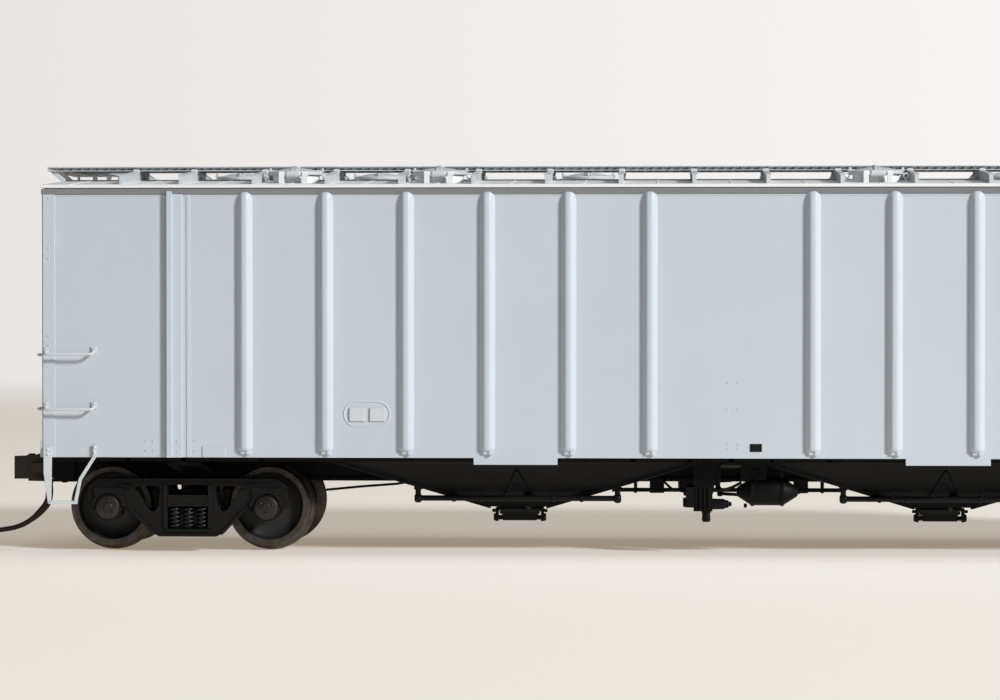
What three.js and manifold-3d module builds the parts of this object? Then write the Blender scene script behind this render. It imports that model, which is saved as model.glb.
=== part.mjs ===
// A 1:87 covered hopper car with two compartments, built the way the model comes apart on a bench:
// a ribbed body shell, a roof with ten hinged hatch covers, a black underframe with two discharge bays,
// brake gear, safety appliances, swinging couplers with opening knuckles, and two swivelling trucks.
// Millimetres. +X runs along the car, +Z is up, and the near side is -Y. The origin is the middle of the car on the
// surface that its wheel flanges stand on. End a is at -X and end b, with the brake wheel, at +X.
import * as THREE from "three";
import { mergeVertices } from "three/addons/utils/BufferGeometryUtils.js";
import Module from "manifold-3d";

const wasm = await Module();
wasm.setup();

// ---- driving dimensions ----
const FLANGE_R = 5.75;
const TREAD_R = 5.2;
const RAIL_Z = FLANGE_R - TREAD_R;
const BACK_TO_BACK = 14.4;
const WHEEL_WIDTH = 2.8;
const TRUCK_CENTRE = 69.5;
const WHEELBASE = 20.4;
const BODY_HALF_LENGTH = 87.25;
const BODY_HALF_WIDTH = 17.9;
const WALL = 1;
const CORNER_STRIP = 1.5;
const END_POST_PROUD = 0.6;
const SIDE_BOTTOM = RAIL_Z + 11.8;
const SIDE_TOP = RAIL_Z + 45.85;
const RIB_PITCH = 10.25;
const RIB_COUNT = 6; // pressed ribs from the middle of the side to its last full panel
const BOLSTER_RIB_X = 70.7;
const SADDLE_PITCH = 9.3; // roof saddles that carry the running board
const SADDLE_COUNT = 8;
const SADDLE_THICK = 0.7;
const BAY_CENTRE = 27.2;
const SKIRT_HALF = 5.3; // the side sheet drops lower over each bay
const SKIRT_DROP = 0.85;
const COUPLER_PIVOT_X = 82.8;
const COUPLER_Z = RAIL_Z + 9.75;
const WHEEL_SEGMENTS = 20;
const SMALL_SEGMENTS = 12;
const GAP = 0.1; // assembly gap between pieces that touch

// ---- dimensions worked out from them ----
const EAVE_Z = SIDE_TOP + GAP;
const LIP_PROUD = 0.85;
const LIP_HEIGHT = 0.45;
const CHORD_BOTTOM = SIDE_TOP - 0.55; // the eave chord lies on the side sheet from here to the lip
const CHORD_PROUD = 0.4;
const ROOF_HALF_WIDTH = BODY_HALF_WIDTH + LIP_PROUD;
const ROOF_HALF_LENGTH = BODY_HALF_LENGTH + 0.2;
const RIDGE_Z = EAVE_Z + 1.55;
const BOARD_TOP = RIDGE_Z + 1.7;
const BOARD_BOTTOM = BOARD_TOP - 0.35;
const BOARD_HALF_WIDTH = 3.9;
const BOARD_HALF_LENGTH = BODY_HALF_LENGTH + 1.9;
const FLOOR_BOTTOM = SIDE_BOTTOM + 0.15;
const FLOOR_TOP = FLOOR_BOTTOM + 0.8;
const SILL_BOTTOM = RAIL_Z + 8.1;
const SILL_HALF_WIDTH = 2.4;
const AXLE_R = 0.95;
const JOURNAL_R = 0.5;
const RIGGING_HALF = 15.4;
const HATCH_BAYS = [-6, -4, 2, 5, 7]; // in saddle pitches along the near side; the far side has the opposite signs
const HATCH_Y = 9.6;
const HATCH_R = 3.5;
const HINGE_Y = HATCH_Y + HATCH_R + 0.45;
const HINGE_Z = RIDGE_Z + 0.35;

// ---- materials ----
const paint = (color, roughness, metalness = 0) => new THREE.MeshStandardMaterial({ color, roughness, metalness });
const GREY = paint(0xc3cad3, 0.45);
const BLACK = paint(0x17181a, 0.6);
const STEEL = paint(0x6f6a66, 0.35, 0.9);
const AXLE_STEEL = paint(0x33312f, 0.45, 0.7);
const COUPLER_METAL = paint(0x2a2624, 0.5, 0.5);
const BARE_STEEL = paint(0x8c8d8f, 0.4, 0.9);

// ---- solids ----
// A closed three.js geometry as a manifold-3d solid.
function solid(geometry) {
  const g = (geometry.index ? geometry.toNonIndexed() : geometry).clone();
  g.deleteAttribute("normal");
  g.deleteAttribute("uv");
  const merged = mergeVertices(g, 1e-4);
  return new wasm.Manifold(new wasm.Mesh({
    numProp: 3,
    vertProperties: new Float32Array(merged.attributes.position.array),
    triVerts: new Uint32Array(merged.index.array),
  }));
}

function geometryOf(manifold) {
  const m = manifold.getMesh();
  const g = new THREE.BufferGeometry();
  g.setAttribute("position", new THREE.BufferAttribute(m.vertProperties.slice(), 3));
  g.setIndex(new THREE.BufferAttribute(m.triVerts.slice(), 1));
  g.computeVertexNormals();
  return g;
}

const join = (...pieces) => pieces.flat().reduce((a, b) => a.add(b));
const cut = (from, ...tools) => tools.flat().reduce((a, b) => a.subtract(b), from);

// A box between two corners.
function block([x0, y0, z0], [x1, y1, z1]) {
  const g = new THREE.BoxGeometry(x1 - x0, y1 - y0, z1 - z0);
  return solid(g.translate((x0 + x1) / 2, (y0 + y1) / 2, (z0 + z1) / 2));
}

// A tapered block: a rectangle at z0 and another at z1, each [x0, x1, y0, y1].
function frustum(low, z0, high, z1) {
  const g = new THREE.BoxGeometry(2, 2, 2);
  const p = g.attributes.position;
  for (let i = 0; i < p.count; i++) {
    const r = p.getZ(i) < 0 ? low : high;
    p.setXYZ(i, p.getX(i) < 0 ? r[0] : r[1], p.getY(i) < 0 ? r[2] : r[3], p.getZ(i) < 0 ? z0 : z1);
  }
  return solid(g);
}

// A cylinder of radius r along an axis, starting at point from.
function rod(axis, r, length, from, segments = SMALL_SEGMENTS) {
  const g = new THREE.CylinderGeometry(r, r, length, segments);
  g.rotateY(Math.PI / segments);
  g.translate(0, length / 2, 0);
  if (axis === "x") g.rotateZ(-Math.PI / 2);
  if (axis === "z") g.rotateX(Math.PI / 2);
  return solid(g.translate(...from));
}

// A turned shape: profile points [radius, distance along the axis], given so that the faces point out.
function turned(axis, profile, segments = SMALL_SEGMENTS) {
  const g = new THREE.LatheGeometry(profile.map(([r, h]) => new THREE.Vector2(r, h)), segments);
  if (axis === "x") g.rotateZ(-Math.PI / 2);
  if (axis === "z") g.rotateX(Math.PI / 2);
  return solid(g);
}

// A flat outline extruded: in plan (x, y) upwards from z, or in elevation (x, z) from y0 to y1, or in section (y, z).
function plate(plane, points, from, to) {
  const shape = new THREE.Shape(points.map(([a, b]) => new THREE.Vector2(a, b)));
  const g = new THREE.ExtrudeGeometry(shape, { depth: to - from, bevelEnabled: false, steps: 1 });
  if (plane === "plan") g.translate(0, 0, from);
  if (plane === "elevation") g.rotateX(Math.PI / 2).translate(0, to, 0);
  if (plane === "section") g.rotateX(Math.PI / 2).rotateZ(Math.PI / 2).translate(from, 0, 0);
  return solid(g);
}

// A round wire along a smooth path.
function wire(points, r, sides, steps) {
  const path = new THREE.CatmullRomCurve3(points.map((p) => new THREE.Vector3(...p)));
  const section = new THREE.Shape(
    Array.from({ length: sides }, (_, i) => {
      const a = (2 * Math.PI * i) / sides;
      return new THREE.Vector2(r * Math.cos(a), r * Math.sin(a));
    }),
  );
  return solid(new THREE.ExtrudeGeometry(section, { steps, extrudePath: path, bevelEnabled: false }));
}

// A cornered bar made of straight round pieces with a ball at each bend.
function bar(points, r, sides = 6) {
  const pieces = [];
  for (let i = 1; i < points.length; i++) {
    const a = new THREE.Vector3(...points[i - 1]);
    const b = new THREE.Vector3(...points[i]);
    const g = new THREE.CylinderGeometry(r, r, a.distanceTo(b), sides);
    const turn = new THREE.Quaternion().setFromUnitVectors(new THREE.Vector3(0, 1, 0), b.clone().sub(a).normalize());
    g.applyQuaternion(turn);
    const middle = a.clone().add(b).multiplyScalar(0.5);
    pieces.push(solid(g.translate(middle.x, middle.y, middle.z)));
    if (i > 1) pieces.push(solid(new THREE.IcosahedronGeometry(r * 1.08, 0).translate(a.x, a.y, a.z)));
  }
  return join(pieces);
}

const car = new THREE.Group();
function add(name, shape, material, parent = car) {
  const mesh = new THREE.Mesh(shape.isBufferGeometry ? shape : geometryOf(shape), material);
  mesh.name = name;
  parent.add(mesh);
  return mesh;
}

// A range of x at one end of the car or of y at one side, lowest first.
const span = (sign, a, b) => [sign * a, sign * b].sort((p, q) => p - q);

// ---- body shell: four walls with pressed ribs, eave chords, skirts, corner strips and end posts ----
const BRAKE_Y = -4.2;
const BRAKE_Z = 33;
const RIB_HALF = 1.2;
const RIB_PROUD = 0.7;

// A pressed rib: a trapezium in plan, standing on the side sheet.
function rib(x, side) {
  const base = BODY_HALF_WIDTH - 0.2;
  const top = BODY_HALF_WIDTH + RIB_PROUD;
  const half = [[RIB_HALF, base], [RIB_HALF - 0.05, base + 0.3], [RIB_HALF - 0.55, top]];
  const outline = [...half, ...half.map(([dx, y]) => [-dx, y]).reverse()];
  return plate("plan", outline.map(([dx, y]) => [x + dx, side * y]), SIDE_BOTTOM + 0.6, SIDE_TOP - 0.2);
}

// One side of the car: its chord, ribs, bolster post, corner strips and skirts.
function sideDetail(side) {
  const parts = [];
  const strip = (end, from, to, z0, z1, proud) => {
    const [x0, x1] = span(end, from, to);
    const [y0, y1] = span(side, BODY_HALF_WIDTH - 0.3, BODY_HALF_WIDTH + proud);
    parts.push(block([x0, y0, z0], [x1, y1, z1]));
  };
  const [c0, c1] = span(side, BODY_HALF_WIDTH - 0.3, BODY_HALF_WIDTH + CHORD_PROUD);
  parts.push(block([-BODY_HALF_LENGTH, c0, CHORD_BOTTOM], [BODY_HALF_LENGTH, c1, SIDE_TOP]));
  for (const end of [-1, 1]) {
    for (let k = 1; k <= RIB_COUNT; k++) parts.push(rib(end * k * RIB_PITCH, side));
    strip(end, BOLSTER_RIB_X - 1.2, BOLSTER_RIB_X + 0.7, SIDE_BOTTOM, SIDE_TOP, 0.3);
    strip(end, BOLSTER_RIB_X, BOLSTER_RIB_X + 0.7, SIDE_BOTTOM + 0.3, SIDE_TOP - 0.2, RIB_PROUD - 0.05);
    strip(end, BODY_HALF_LENGTH - CORNER_STRIP, BODY_HALF_LENGTH, SIDE_BOTTOM, SIDE_TOP, 0.12);
    const [x0, x1] = span(end, BAY_CENTRE - SKIRT_HALF, BAY_CENTRE + SKIRT_HALF);
    const [y0, y1] = span(side, BODY_HALF_WIDTH - WALL, BODY_HALF_WIDTH);
    parts.push(block([x0, y0, SIDE_BOTTOM - SKIRT_DROP], [x1, y1, SIDE_BOTTOM + 0.5]));
  }
  return parts;
}

function bodyShell() {
  const outer = block([-BODY_HALF_LENGTH, -BODY_HALF_WIDTH, SIDE_BOTTOM], [BODY_HALF_LENGTH, BODY_HALF_WIDTH, SIDE_TOP]);
  const inside = block(
    [WALL - BODY_HALF_LENGTH, WALL - BODY_HALF_WIDTH, SIDE_BOTTOM - 1],
    [BODY_HALF_LENGTH - WALL, BODY_HALF_WIDTH - WALL, SIDE_TOP + 1],
  );
  const parts = [outer.subtract(inside), ...sideDetail(-1), ...sideDetail(1)];
  for (const end of [-1, 1]) {
    const [x0, x1] = span(end, BODY_HALF_LENGTH - 0.3, BODY_HALF_LENGTH + END_POST_PROUD);
    for (const y of [-7.2, 7.2]) parts.push(block([x0, y - 0.6, SIDE_BOTTOM], [x1, y + 0.6, SIDE_TOP - 0.4]));
    const [s0, s1] = span(end, BODY_HALF_LENGTH - 0.3, BODY_HALF_LENGTH + END_POST_PROUD - 0.2);
    parts.push(block([s0, -BODY_HALF_WIDTH, SIDE_BOTTOM], [s1, BODY_HALF_WIDTH, SIDE_BOTTOM + 2]));
  }
  // hand brake housing on end b, with the hole its wheel turns in
  const housing = block([BODY_HALF_LENGTH, BRAKE_Y - 1.6, BRAKE_Z - 2], [BODY_HALF_LENGTH + 1.3, BRAKE_Y + 1.6, BRAKE_Z + 2]);
  const hole = rod("x", 0.5, 1.2, [BODY_HALF_LENGTH + 0.4, BRAKE_Y, BRAKE_Z]);
  return cut(join(parts, housing), hole);
}

// ---- roof: low gable with a drip lip, saddles, hatch coamings and hinge lugs ----
const roofHeight = (y) => RIDGE_Z - (RIDGE_Z - EAVE_Z - LIP_HEIGHT) * (Math.abs(y) / ROOF_HALF_WIDTH);
const hatches = [];
for (const side of [-1, 1]) {
  for (const k of HATCH_BAYS) hatches.push({ x: -side * k * SADDLE_PITCH, y: side * HATCH_Y, side });
}

function roof() {
  const section = [
    [-ROOF_HALF_WIDTH, EAVE_Z], [ROOF_HALF_WIDTH, EAVE_Z], [ROOF_HALF_WIDTH, EAVE_Z + LIP_HEIGHT],
    [0, RIDGE_Z], [-ROOF_HALF_WIDTH, EAVE_Z + LIP_HEIGHT],
  ];
  const inner = BODY_HALF_WIDTH - WALL - GAP;
  const parts = [
    plate("section", section, -ROOF_HALF_LENGTH, ROOF_HALF_LENGTH),
    block([-(BODY_HALF_LENGTH - WALL - GAP), -inner, EAVE_Z - 1.2], [BODY_HALF_LENGTH - WALL - GAP, inner, EAVE_Z + 0.1]),
  ];
  const eaveY = ROOF_HALF_WIDTH - 1.4;
  const saddle = [
    [-eaveY, EAVE_Z + 0.2], [eaveY, EAVE_Z + 0.2], [eaveY, roofHeight(eaveY) + 1.2],
    [BOARD_HALF_WIDTH + 0.5, BOARD_BOTTOM - 0.3], [BOARD_HALF_WIDTH - 0.2, BOARD_BOTTOM - GAP],
    [0.2 - BOARD_HALF_WIDTH, BOARD_BOTTOM - GAP], [-BOARD_HALF_WIDTH - 0.5, BOARD_BOTTOM - 0.3], [-eaveY, roofHeight(eaveY) + 1.2],
  ];
  for (const end of [-1, 1]) {
    for (let k = 1; k <= SADDLE_COUNT; k++) {
      const x = end * (k - 0.5) * SADDLE_PITCH;
      parts.push(plate("section", saddle, x - SADDLE_THICK / 2, x + SADDLE_THICK / 2));
    }
    const last = end * ((SADDLE_COUNT - 0.5) * SADDLE_PITCH + 7.6);
    parts.push(plate("section", saddle, last - SADDLE_THICK / 2, last + SADDLE_THICK / 2));
    // legs of the side walk that leaves the running board towards the ladder
    const [y0, y1] = span(-end, 12, 12.6);
    parts.push(block([end * 84.5 - 1.2, y0, EAVE_Z + 0.5], [end * 84.5 + 1.2, y1, BOARD_BOTTOM - GAP]));
  }
  const wells = [];
  for (const { x, y, side } of hatches) {
    parts.push(rod("z", 3, 1.9, [x, y, HINGE_Z - 1.75], 14));
    wells.push(rod("z", 2.5, 1.5, [x, y, HINGE_Z - 0.65], 14));
    for (const lug of [-1.5, 1.5]) {
      const [y0, y1] = span(side, HINGE_Y - 0.45, HINGE_Y + 0.45);
      parts.push(block([x + lug - 0.35, y0, EAVE_Z + 0.3], [x + lug + 0.35, y1, HINGE_Z + 0.35]));
    }
    wells.push(rod("x", 0.36, 4, [x - 2, side * HINGE_Y, HINGE_Z], 6));
  }
  return cut(join(parts), wells);
}

// A domed cover with its hinge arm, hinge pin and hold-down bar, in the car's frame about its own hatch centre.
function hatchCover(side) {
  const z = HINGE_Z + 0.2; // just above the coaming
  const skirt = 3.12;
  const profile = [[0, z], [skirt, z], [skirt, z - 0.25], [HATCH_R, z - 0.25], [HATCH_R, z + 0.1], [2.4, z + 0.5], [0, z + 0.6]];
  const hinge = side * (HINGE_Y - HATCH_Y);
  const [armFrom, armTo] = span(side, skirt, HINGE_Y - HATCH_Y);
  const [barFrom, barTo] = span(side, -HATCH_R - 0.2, HATCH_R - 0.2);
  return join(
    turned("z", profile, 14),
    block([-0.9, armFrom, HINGE_Z - 0.05], [0.9, armTo, HINGE_Z + 0.4]),
    block([-0.45, barFrom, z + 0.35], [0.45, barTo, z + 0.85]),
    rod("x", 0.25, 3.8, [-1.9, hinge, HINGE_Z], 6),
    rod("x", 0.42, 1.8, [-0.9, hinge, HINGE_Z], 6),
  );
}

// ---- running board with its two side walks ----
function runningBoard() {
  const walk = 6.8;
  const L = BOARD_HALF_LENGTH;
  const W = BOARD_HALF_WIDTH;
  const out = ROOF_HALF_WIDTH - 1.2;
  const outline = [
    [-L, -W], [L - walk, -W], [L - walk, -out], [L, -out], [L, W],
    [walk - L, W], [walk - L, out], [-L, out],
  ];
  const parts = [plate("plan", outline, BOARD_BOTTOM, BOARD_TOP)];
  for (const end of [-1, 1]) {
    for (const y of [-2.8, 2.8]) {
      const brace = [[end * (L - 0.5), BOARD_BOTTOM + 0.1], [end * (L - 1.4), BOARD_BOTTOM + 0.1], [end * (L - 2.7), RIDGE_Z + 0.08], [end * (L - 1.9), RIDGE_Z + 0.08]];
      parts.push(plate("elevation", end > 0 ? brace.reverse() : brace, y - 0.3, y + 0.3));
    }
  }
  return join(parts);
}

// ---- underframe: floor, centre sill, body bolsters, middle crossbearer, coupler pockets ----
function underframe() {
  const inX = BODY_HALF_LENGTH - WALL - GAP;
  const inY = BODY_HALF_WIDTH - WALL - GAP;
  const parts = [
    block([-inX, -inY, FLOOR_BOTTOM], [inX, inY, FLOOR_TOP]),
    block([-inX, -SILL_HALF_WIDTH, SILL_BOTTOM], [inX, SILL_HALF_WIDTH, FLOOR_BOTTOM + 0.1]),
    block([-1.3, -inY, FLOOR_BOTTOM - 1.7], [1.3, inY, FLOOR_BOTTOM + 0.1]),
  ];
  const cuts = [];
  const posts = [];
  const bolster = [
    [-inY, FLOOR_BOTTOM + 0.1], [-inY, FLOOR_BOTTOM - 0.8], [-3, SILL_BOTTOM + 0.9], [3, SILL_BOTTOM + 0.9],
    [inY, FLOOR_BOTTOM - 0.8], [inY, FLOOR_BOTTOM + 0.1],
  ];
  for (const end of [-1, 1]) {
    const x = end * TRUCK_CENTRE;
    parts.push(plate("section", bolster, x - 2.2, x + 2.2));
    cuts.push(rod("z", 0.9, 3.6, [x, 0, SILL_BOTTOM - 0.1]));
    const [b0, b1] = span(end, 78, BODY_HALF_LENGTH + 1.4);
    parts.push(block([b0, -2.9, COUPLER_Z - 1.85], [b1, 2.9, COUPLER_Z + 1.7]));
    const [p0, p1] = span(end, 79.2, BODY_HALF_LENGTH + 3);
    cuts.push(block([p0, -2.15, COUPLER_Z - 0.95], [p1, 2.15, COUPLER_Z + 0.95]));
    posts.push(rod("z", 0.6, 2.4, [end * COUPLER_PIVOT_X, 0, COUPLER_Z - 1.2]));
  }
  return join(cut(join(parts), cuts), posts);
}

// ---- discharge bay: shallow wedge that narrows to its outlet, notched over the centre sill ----
const BAY_FOOT = { halfLength: 3.9, halfWidth: 8.5, z: RAIL_Z + 5.25 };
function dischargeBay(x) {
  const reach = 25;
  const y = BODY_HALF_WIDTH - WALL - 0.4;
  const foot = [x - BAY_FOOT.halfLength, x + BAY_FOOT.halfLength, -BAY_FOOT.halfWidth, BAY_FOOT.halfWidth];
  const wedge = frustum(foot, BAY_FOOT.z, [x - reach, x + reach, -y, y], FLOOR_BOTTOM - GAP);
  const w = SILL_HALF_WIDTH + GAP;
  return cut(wedge, block([x - 40, -w, SILL_BOTTOM - GAP], [x + 40, w, FLOOR_TOP]));
}

// ---- pneumatic outlet under a bay, with its air manifold along the near side ----
function outlet() {
  const z = BAY_FOOT.z - GAP;
  const pipeY = -11;
  const pipeZ = RAIL_Z + 6.35;
  const pipeHalf = 12.8;
  const parts = [
    frustum([-2, 2, -4.2, 4.2], z - 1.6, [-3, 3, -5.6, 5.6], z),
    rod("x", 0.35, 6.9, [-3.45, -4.4, z - 1.2], 8),
    block([-1.9, -4.75, z - 1.6], [1.9, -3.9, z - 0.8]),
    rod("y", 0.5, 7.2, [0, pipeY, z - 0.65], 8),
    rod("z", 0.45, pipeZ - z + 0.65, [0, pipeY, z - 0.65], 8),
    rod("x", 0.42, 2 * pipeHalf, [-pipeHalf, pipeY, pipeZ], 6),
  ];
  for (const end of [-1, 1]) {
    parts.push(rod("x", 0.9, 0.4, [end * 3.3 - 0.2, -4.4, z - 1.2], 10));
    parts.push(rod("z", 0.42, RAIL_Z + 7.9 - pipeZ, [end * pipeHalf, pipeY, pipeZ], 8));
    parts.push(rod("x", 0.62, 0.9, [end * pipeHalf - 0.45, pipeY, pipeZ], 6));
  }
  return join(parts);
}

// ---- brake gear ----
function controlValve() {
  const z = RAIL_Z + 5;
  return join(
    block([-6, -14.4, z], [-2.4, -11.8, z + 3.3]),
    block([-4.8, -14, z + 3], [-1.4, -12.2, FLOOR_BOTTOM - 1]),
    rod("z", 0.55, 1.6, [-3.3, -13.1, z - 1.5], 10),
    rod("x", 0.72, 2.7, [-2.6, -13.1, z + 0.75], 10),
    block([-6.2, -13.8, z + 0.4], [-5.8, -12.4, z + 1.9]),
  );
}

function airReservoir() {
  const shape = turned("x", [[0, 0.9], [0.7, 1], [1.6, 1.9], [1.75, 2.6], [1.75, 6.8], [1.6, 7.5], [0.7, 8.3], [0, 8.4]], 14).translate([0, -12.4, RAIL_Z + 7.35]);
  const straps = [2.9, 6.5].map((x) => block([x - 0.25, -13.9, RAIL_Z + 5.35], [x + 0.25, -10.9, RAIL_Z + 8.2]));
  return join(shape, straps, block([1.4, -13.2, RAIL_Z + 8.6], [4.2, -11.6, FLOOR_BOTTOM - 0.9]));
}

function brakeCylinder() {
  const body = turned("x", [[0, -6.6], [1.2, -6.6], [1.6, -6.2], [1.6, -2.4], [1.9, -2.3], [1.9, -1.9], [0.4, -1.7], [0.3, 0.6], [0, 0.6]], 14).translate([0, 11.8, RAIL_Z + 7.6]);
  return join(body, block([-3.6, 10.8, RAIL_Z + 8.4], [-1.4, 12.8, FLOOR_BOTTOM - 0.9]));
}

function brakeRigging() {
  const z = SILL_BOTTOM - 1.25;
  const parts = [
    rod("x", 0.28, 2 * RIGGING_HALF, [-RIGGING_HALF, 0, z], 6),
    block([-1.6, -8.8, z - 0.2], [-1, 9.2, z + 0.2]),
    block([5.6, -6.2, z - 0.2], [6.2, 6.8, z + 0.2]),
  ];
  const hangers = [[-12.2, 0.3], [-9.4, 1], [-5.5, 0.7], [9.4, 1], [12.2, 0.3]];
  for (const [x, half] of hangers) parts.push(block([x - half, -0.4, z - 0.35], [x + half, 0.4, SILL_BOTTOM - 0.05]));
  return join(parts);
}

// ---- hand brake wheel, in its own frame about its centre, turning about x ----
function brakeWheel() {
  const r = 3.1;
  const rim = new THREE.TorusGeometry(r, 0.25, 5, 20).rotateY(Math.PI / 2).translate(0.75, 0, 0);
  const parts = [solid(rim), rod("x", 0.7, 0.9, [0.1, 0, 0], 8), rod("x", 0.4, 1.2, [-0.8, 0, 0], 8)];
  for (let i = 0; i < 5; i++) {
    const spoke = new THREE.BoxGeometry(0.3, 0.36, r).translate(0.65, 0, r / 2).rotateX((2 * Math.PI * i) / 5);
    parts.push(solid(spoke));
  }
  return join(parts);
}

// ---- ladders, grab irons and stirrup steps, for the side or end that faces -Y or -X, in the car's frame ----
const STAND_OFF = 1.1;
function ladder(width, z0, z1, rungPitch) {
  const parts = [];
  for (const x of [-width / 2, width / 2]) {
    parts.push(block([x - 0.22, -STAND_OFF, z0], [x + 0.22, 0, z1]));
  }
  for (let z = z0 + 1; z < z1 - 0.5; z += rungPitch) {
    parts.push(rod("x", 0.2, width + 0.2, [-width / 2 - 0.1, -STAND_OFF + 0.25, z], 6));
  }
  return join(parts);
}

const grabIron = () => bar([[-3.1, 0, 0.4], [-3.1, -0.9, 0], [3.1, -0.9, 0], [3.1, 0, 0.4]], 0.2);

// The stirrup hangs below the corner: a wide outer leg, a tread, and an inner leg that kinks up to its bolt.
function stirrupStep() {
  const left = -BODY_HALF_LENGTH;
  const foot = RAIL_Z + 6.1;
  const strap = [
    [left + 0.1, SIDE_BOTTOM + 1.2], [left + 0.1, SIDE_BOTTOM - 2], [left + 0.45, foot + 0.5], [left + 0.55, foot], [left + 4.1, foot],
    [left + 4.6, foot + 0.4], [left + 5, foot + 3.2], [left + 6.9, SIDE_BOTTOM], [left + 6.9, SIDE_BOTTOM + 1.6],
    [left + 6.4, SIDE_BOTTOM + 1.6], [left + 6.4, SIDE_BOTTOM + 0.1], [left + 4.5, foot + 3.3], [left + 4.05, foot + 0.5],
    [left + 1, foot + 0.5], [left + 1.1, SIDE_BOTTOM + 1.2],
  ];
  const y = -BODY_HALF_WIDTH - 0.15;
  return join(
    plate("elevation", strap, y - 0.35, y),
    block([left + 0.6, y - 0.35, foot], [left + 4.2, y + 0.9, foot + 0.35]),
  );
}

// ---- couplers, in a frame at the pivot with x pointing away from the car ----
const KNUCKLE_U = 9.4;
const KNUCKLE_V = -1.4;
function couplerHead() {
  const shank = [[-1.1, -0.6], [-0.7, -1], [6.6, -1], [6.6, 1], [-0.7, 1], [-1.1, 0.6]];
  const head = [
    [6.5, -0.95], [7.7, -1.9], [8.3, -1.9], [8.1, -0.5], [8.45, 0.1], [9.4, 0.7], [11, 1.75], [11.1, 2.3], [9.4, 2.35], [7.7, 1.9], [6.5, 0.95],
  ];
  const ear = [[8.2, -1.95], [9.6, -2.1], [10.1, -1.4], [9.7, -0.75], [8.2, -0.6]];
  return cut(
    join(
      plate("plan", shank, -0.75, 0.75),
      plate("plan", head, -1.5, 1.5),
      plate("plan", ear, -1.5, -1.05),
      plate("plan", ear, 1.05, 1.5),
    ),
    rod("z", 0.68, 3, [0, 0, -1.5]),
    rod("z", 0.42, 4, [KNUCKLE_U, KNUCKLE_V, -2], 8),
  );
}

// Knuckle about its own pin, with the tail under the head and the curved trip pin pressed into it.
function knuckle() {
  const claw = [[-0.55, -0.45], [0.1, -0.72], [1.3, -0.35], [1.75, 0.3], [1.7, 1.15], [1.35, 1.4], [0.95, 1.2], [0.95, 0.75], [0.45, 0.5], [-0.4, 0.5]];
  const tail = [[0.4, -0.4], [0.4, 0.4], [-2.2, 1.4], [-2.7, 1.2], [-2.7, 0.7]];
  const pin = [[-2.5, 1.05, -1.8], [-2.5, 1.05, -3.5], [-2.2, 1, -4.7], [-1.3, 0.95, -5.9], [0.1, 0.95, -7.2], [1.6, 1, -8], [4.2, 1.1, -8.5]];
  return join(
    plate("plan", claw, -0.95, 0.95),
    rod("z", 0.33, 3.5, [0, 0, -1.9], 8),
    plate("plan", tail, -1.95, -1.6),
    wire(pin, 0.32, 6, 14),
  );
}

// ---- trucks, in a frame at the kingpin ----
function sideFrame(side) {
  const outline = [
    [-12.6, 7.1], [-12.1, 9], [-11.2, 9.3], [11.2, 9.3], [12.1, 9], [12.6, 7.1], [12.2, 5.4], [9, 4.5], [8.2, 5.6],
    [7.1, 5.7], [3.9, 2.2], [-3.9, 2.2], [-7.1, 5.7], [-8.2, 5.6], [-9, 4.5], [-12.2, 5.4],
  ];
  const window = [[-2.6, 2.9], [-2.6, 8.6], [2.6, 8.6], [2.6, 2.9]];
  const leftGap = [[-6.7, 8.2], [-3.6, 8.4], [-3.9, 5.9], [-4.6, 5.1], [-5, 5.2]];
  const rightGap = leftGap.map(([x, z]) => [-x, z]).reverse();
  const [y0, y1] = span(side, 11.4, 12.9);
  const gaps = [window, leftGap, rightGap].map((gap) => plate("elevation", gap, y0 - 1, y1 + 1));
  const parts = [cut(plate("elevation", outline, y0, y1), gaps)];
  for (const end of [-1, 1]) {
    const from = side > 0 ? 10.75 : -13.3;
    parts.push(rod("y", 2.1, 2.55, [end * WHEELBASE / 2, from, FLANGE_R], 10));
  }
  const bores = [-1, 1].map((end) => rod("y", 0.62, 4, [end * WHEELBASE / 2, side * 12 - 2, FLANGE_R], 8));
  const springs = [];
  for (const x of [-1.7, 0, 1.7]) springs.push(rod("z", 0.72, 3, [x, side * 12.1, 2.8], 6));
  springs.push(block([-2.7, side * 12.1 - 0.3, 2.8], [2.7, side * 12.1 + 0.3, 5.7]));
  return join(cut(join(parts), bores), springs);
}

function truckBolster() {
  const parts = [
    block([-2.2, -10.6, 5], [2.2, 10.6, 8]),
    block([-2.3, -13.2, 5.95], [2.3, 13.2, 7.1]),
    rod("z", 2.6, 1, [0, 0, SILL_BOTTOM - GAP - 1], 16),
  ];
  return cut(join(parts), rod("z", 1.15, 8, [0, 0, 3]), rod("z", 1.9, 1.2, [0, 0, 4.9]));
}

const kingpin = () => join(rod("z", 0.8, 6.8, [0, 0, 5]), rod("z", 1.6, 0.9, [0, 0, 4.6], 14));

// Wheel profile from its back face outwards: bore, flange, coned tread, rim and dished plate.
const BORE_R = 1;
const wheelProfile = [
  [BORE_R, 0], [FLANGE_R - 0.3, 0], [FLANGE_R, 0.4], [TREAD_R, 1.05], [TREAD_R - 0.1, WHEEL_WIDTH],
  [4.3, WHEEL_WIDTH], [4, 1.8], [BORE_R, 2.2], [BORE_R, 0],
];
function wheel(side) {
  const shape = turned("y", wheelProfile, WHEEL_SEGMENTS);
  return (side > 0 ? shape : shape.mirror([0, 1, 0])).translate([0, (side * BACK_TO_BACK) / 2, 0]);
}

// Axle with two journals, and the roller-bearing end caps that turn with it outside the side frames.
function axle() {
  const half = [[AXLE_R, 10.4], [JOURNAL_R, 10.6], [JOURNAL_R, 13.4], [1.6, 13.4], [1.6, 13.8], [1.2, 14.05], [0, 14.05]];
  const profile = [...half.map(([r, h]) => [r, -h]).reverse(), ...half];
  return turned("y", profile, 10);
}

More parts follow.
